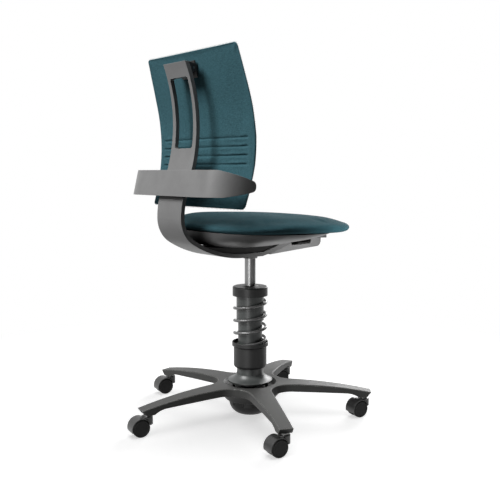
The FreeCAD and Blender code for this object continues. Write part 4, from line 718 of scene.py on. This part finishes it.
def studio_floor():
    """Pale paper that keeps the chair's shadow and runs out into plain white."""
    mesh = bpy.data.meshes.new("floor")
    corners = [(FLOOR_REACH * x, FLOOR_REACH * y, 0) for x, y in ((-1, -1), (1, -1), (1, 1), (-1, 1))]
    mesh.from_pydata(corners, [], [(0, 1, 2, 3)])
    sheet = bpy.data.objects.new("floor", mesh)
    scene.collection.objects.link(sheet)
    paper = Finish("white_paper", 0.0, FLOOR_GLOSS)
    paper.shader.inputs["Roughness"].default_value = FLOOR_ROUGHNESS
    seen = plain_sight(paper.tree)
    paper.feed(paper.shader.inputs["Base Color"], paper.mix(seen, FLOOR_BOUNCE, FLOOR_SEEN))
    glow = paper.node("ShaderNodeEmission", Strength=paper.math("MULTIPLY", seen, FLOOR_GLOW))
    near = paper.node("ShaderNodeAddShader")
    paper.feed(near.inputs[0], paper.shader.outputs["BSDF"])
    paper.feed(near.inputs[1], glow.outputs["Emission"])
    away = paper.node("ShaderNodeVectorMath", {"operation": "LENGTH"})
    paper.feed(away.inputs[0], paper.node("ShaderNodeNewGeometry").outputs["Position"])
    share = paper.ramp(away.outputs["Value"], *FLOOR_FADE)
    both = paper.node("ShaderNodeMixShader", Fac=paper.math("MULTIPLY", seen, share))
    paper.feed(both.inputs[1], near.outputs["Shader"])
    paper.feed(both.inputs[2], paper.node("ShaderNodeEmission").outputs["Emission"])
    paper.feed(paper.tree.nodes["Material Output"].inputs["Surface"], both.outputs["Shader"])
    mesh.materials.append(paper.material)
    return sheet


def studio_world():
    """White to look at, and a weak light from all round."""
    world = bpy.data.worlds.new("studio")
    scene.world = world
    world.use_nodes = True
    tree = world.node_tree
    background = tree.nodes["Background"]
    background.inputs["Color"].default_value = WHITE
    level = tree.nodes.new("ShaderNodeMapRange")
    level.inputs["To Min"].default_value = AMBIENT
    tree.links.new(plain_sight(tree), level.inputs["Value"])
    tree.links.new(level.outputs["Result"], background.inputs["Strength"])


def dark_flag():
    """A black cloth on the shaded side, which the camera does not see."""
    points, faces = [], []
    for step in range(FLAG_STEPS + 1):
        angle = math.radians(FLAG_FROM + (FLAG_TO - FLAG_FROM) * step / FLAG_STEPS)
        for z in (0.0, FLAG_HEIGHT):
            points.append((FLAG_REACH * math.cos(angle), FLAG_REACH * math.sin(angle), z))
    for step in range(FLAG_STEPS):
        faces.append((2 * step, 2 * step + 2, 2 * step + 3, 2 * step + 1))
    mesh = bpy.data.meshes.new("dark_flag")
    mesh.from_pydata(points, [], faces)
    flag = bpy.data.objects.new("dark_flag", mesh)
    scene.collection.objects.link(flag)
    cloth = Finish("black_cloth", 0.0, 0.0)
    cloth.shader.inputs["Base Color"].default_value = FLAG_BLACK
    cloth.shader.inputs["Roughness"].default_value = 1.0
    mesh.materials.append(cloth.material)
    flag.visible_camera = False


def soft_lamp(name, place, aim, size, power, spread=180):
    """A round lamp of a power in watts, which the camera does not see."""
    light = bpy.data.lights.new(name, "AREA")
    light.shape = "DISK"
    light.size = size
    light.energy = power
    light.spread = math.radians(spread)
    lamp = bpy.data.objects.new(name, light)
    scene.collection.objects.link(lamp)
    lamp.visible_camera = False
    lamp.location = place
    lamp.rotation_euler = (Vector(aim) - Vector(place)).to_track_quat("-Z", "Y").to_euler()
    return lamp


def keep_off(lamp, piece):
    """Keeps a lamp's light off one piece."""
    spared = bpy.data.collections.new(lamp.name + "_spares")
    spared.objects.link(piece)
    spared.collection_objects[0].light_linking.link_state = "EXCLUDE"
    lamp.light_linking.receiver_collection = spared


def photo_camera():
    """The camera, fitted to the photo."""
    lens = bpy.data.cameras.new("camera")
    lens.sensor_width = SENSOR_WIDTH
    lens.lens = LENS_LENGTH
    camera = bpy.data.objects.new("camera", lens)
    scene.collection.objects.link(camera)
    camera.location = CAMERA_PLACE
    pitch = math.radians(CAMERA_PITCH)
    ahead, aside = CAMERA_HEADING
    way = Vector((ahead * math.cos(pitch), aside * math.cos(pitch), -math.sin(pitch)))
    camera.rotation_euler = way.to_track_quat("-Z", "Y").to_euler()
    scene.camera = camera


floor = studio_floor()
studio_world()
dark_flag()
key = soft_lamp("key", place=(0.45, 2.5, 2.6), aim=(0, 0, 0.55), size=1.7, power=150)
keep_off(key, floor)
soft_lamp("top", place=(-0.2, 0.1, 2.8), aim=(0, 0, 0), size=2.8, power=48)
soft_lamp("front", place=(1.0, -2.3, 1.1), aim=(0, 0, 0.6), size=1.6, power=44)
low = soft_lamp("low", place=(-0.55, -0.2, 0.4), aim=(-0.05, -0.12, 0.455), size=0.15, power=0.28, spread=50)
low.visible_glossy = False
gleam = soft_lamp("gleam", place=(-1.1, 1.9, 0.38), aim=(0, 0, 0.38), size=0.7, power=16)
gleam.visible_diffuse = False
photo_camera()
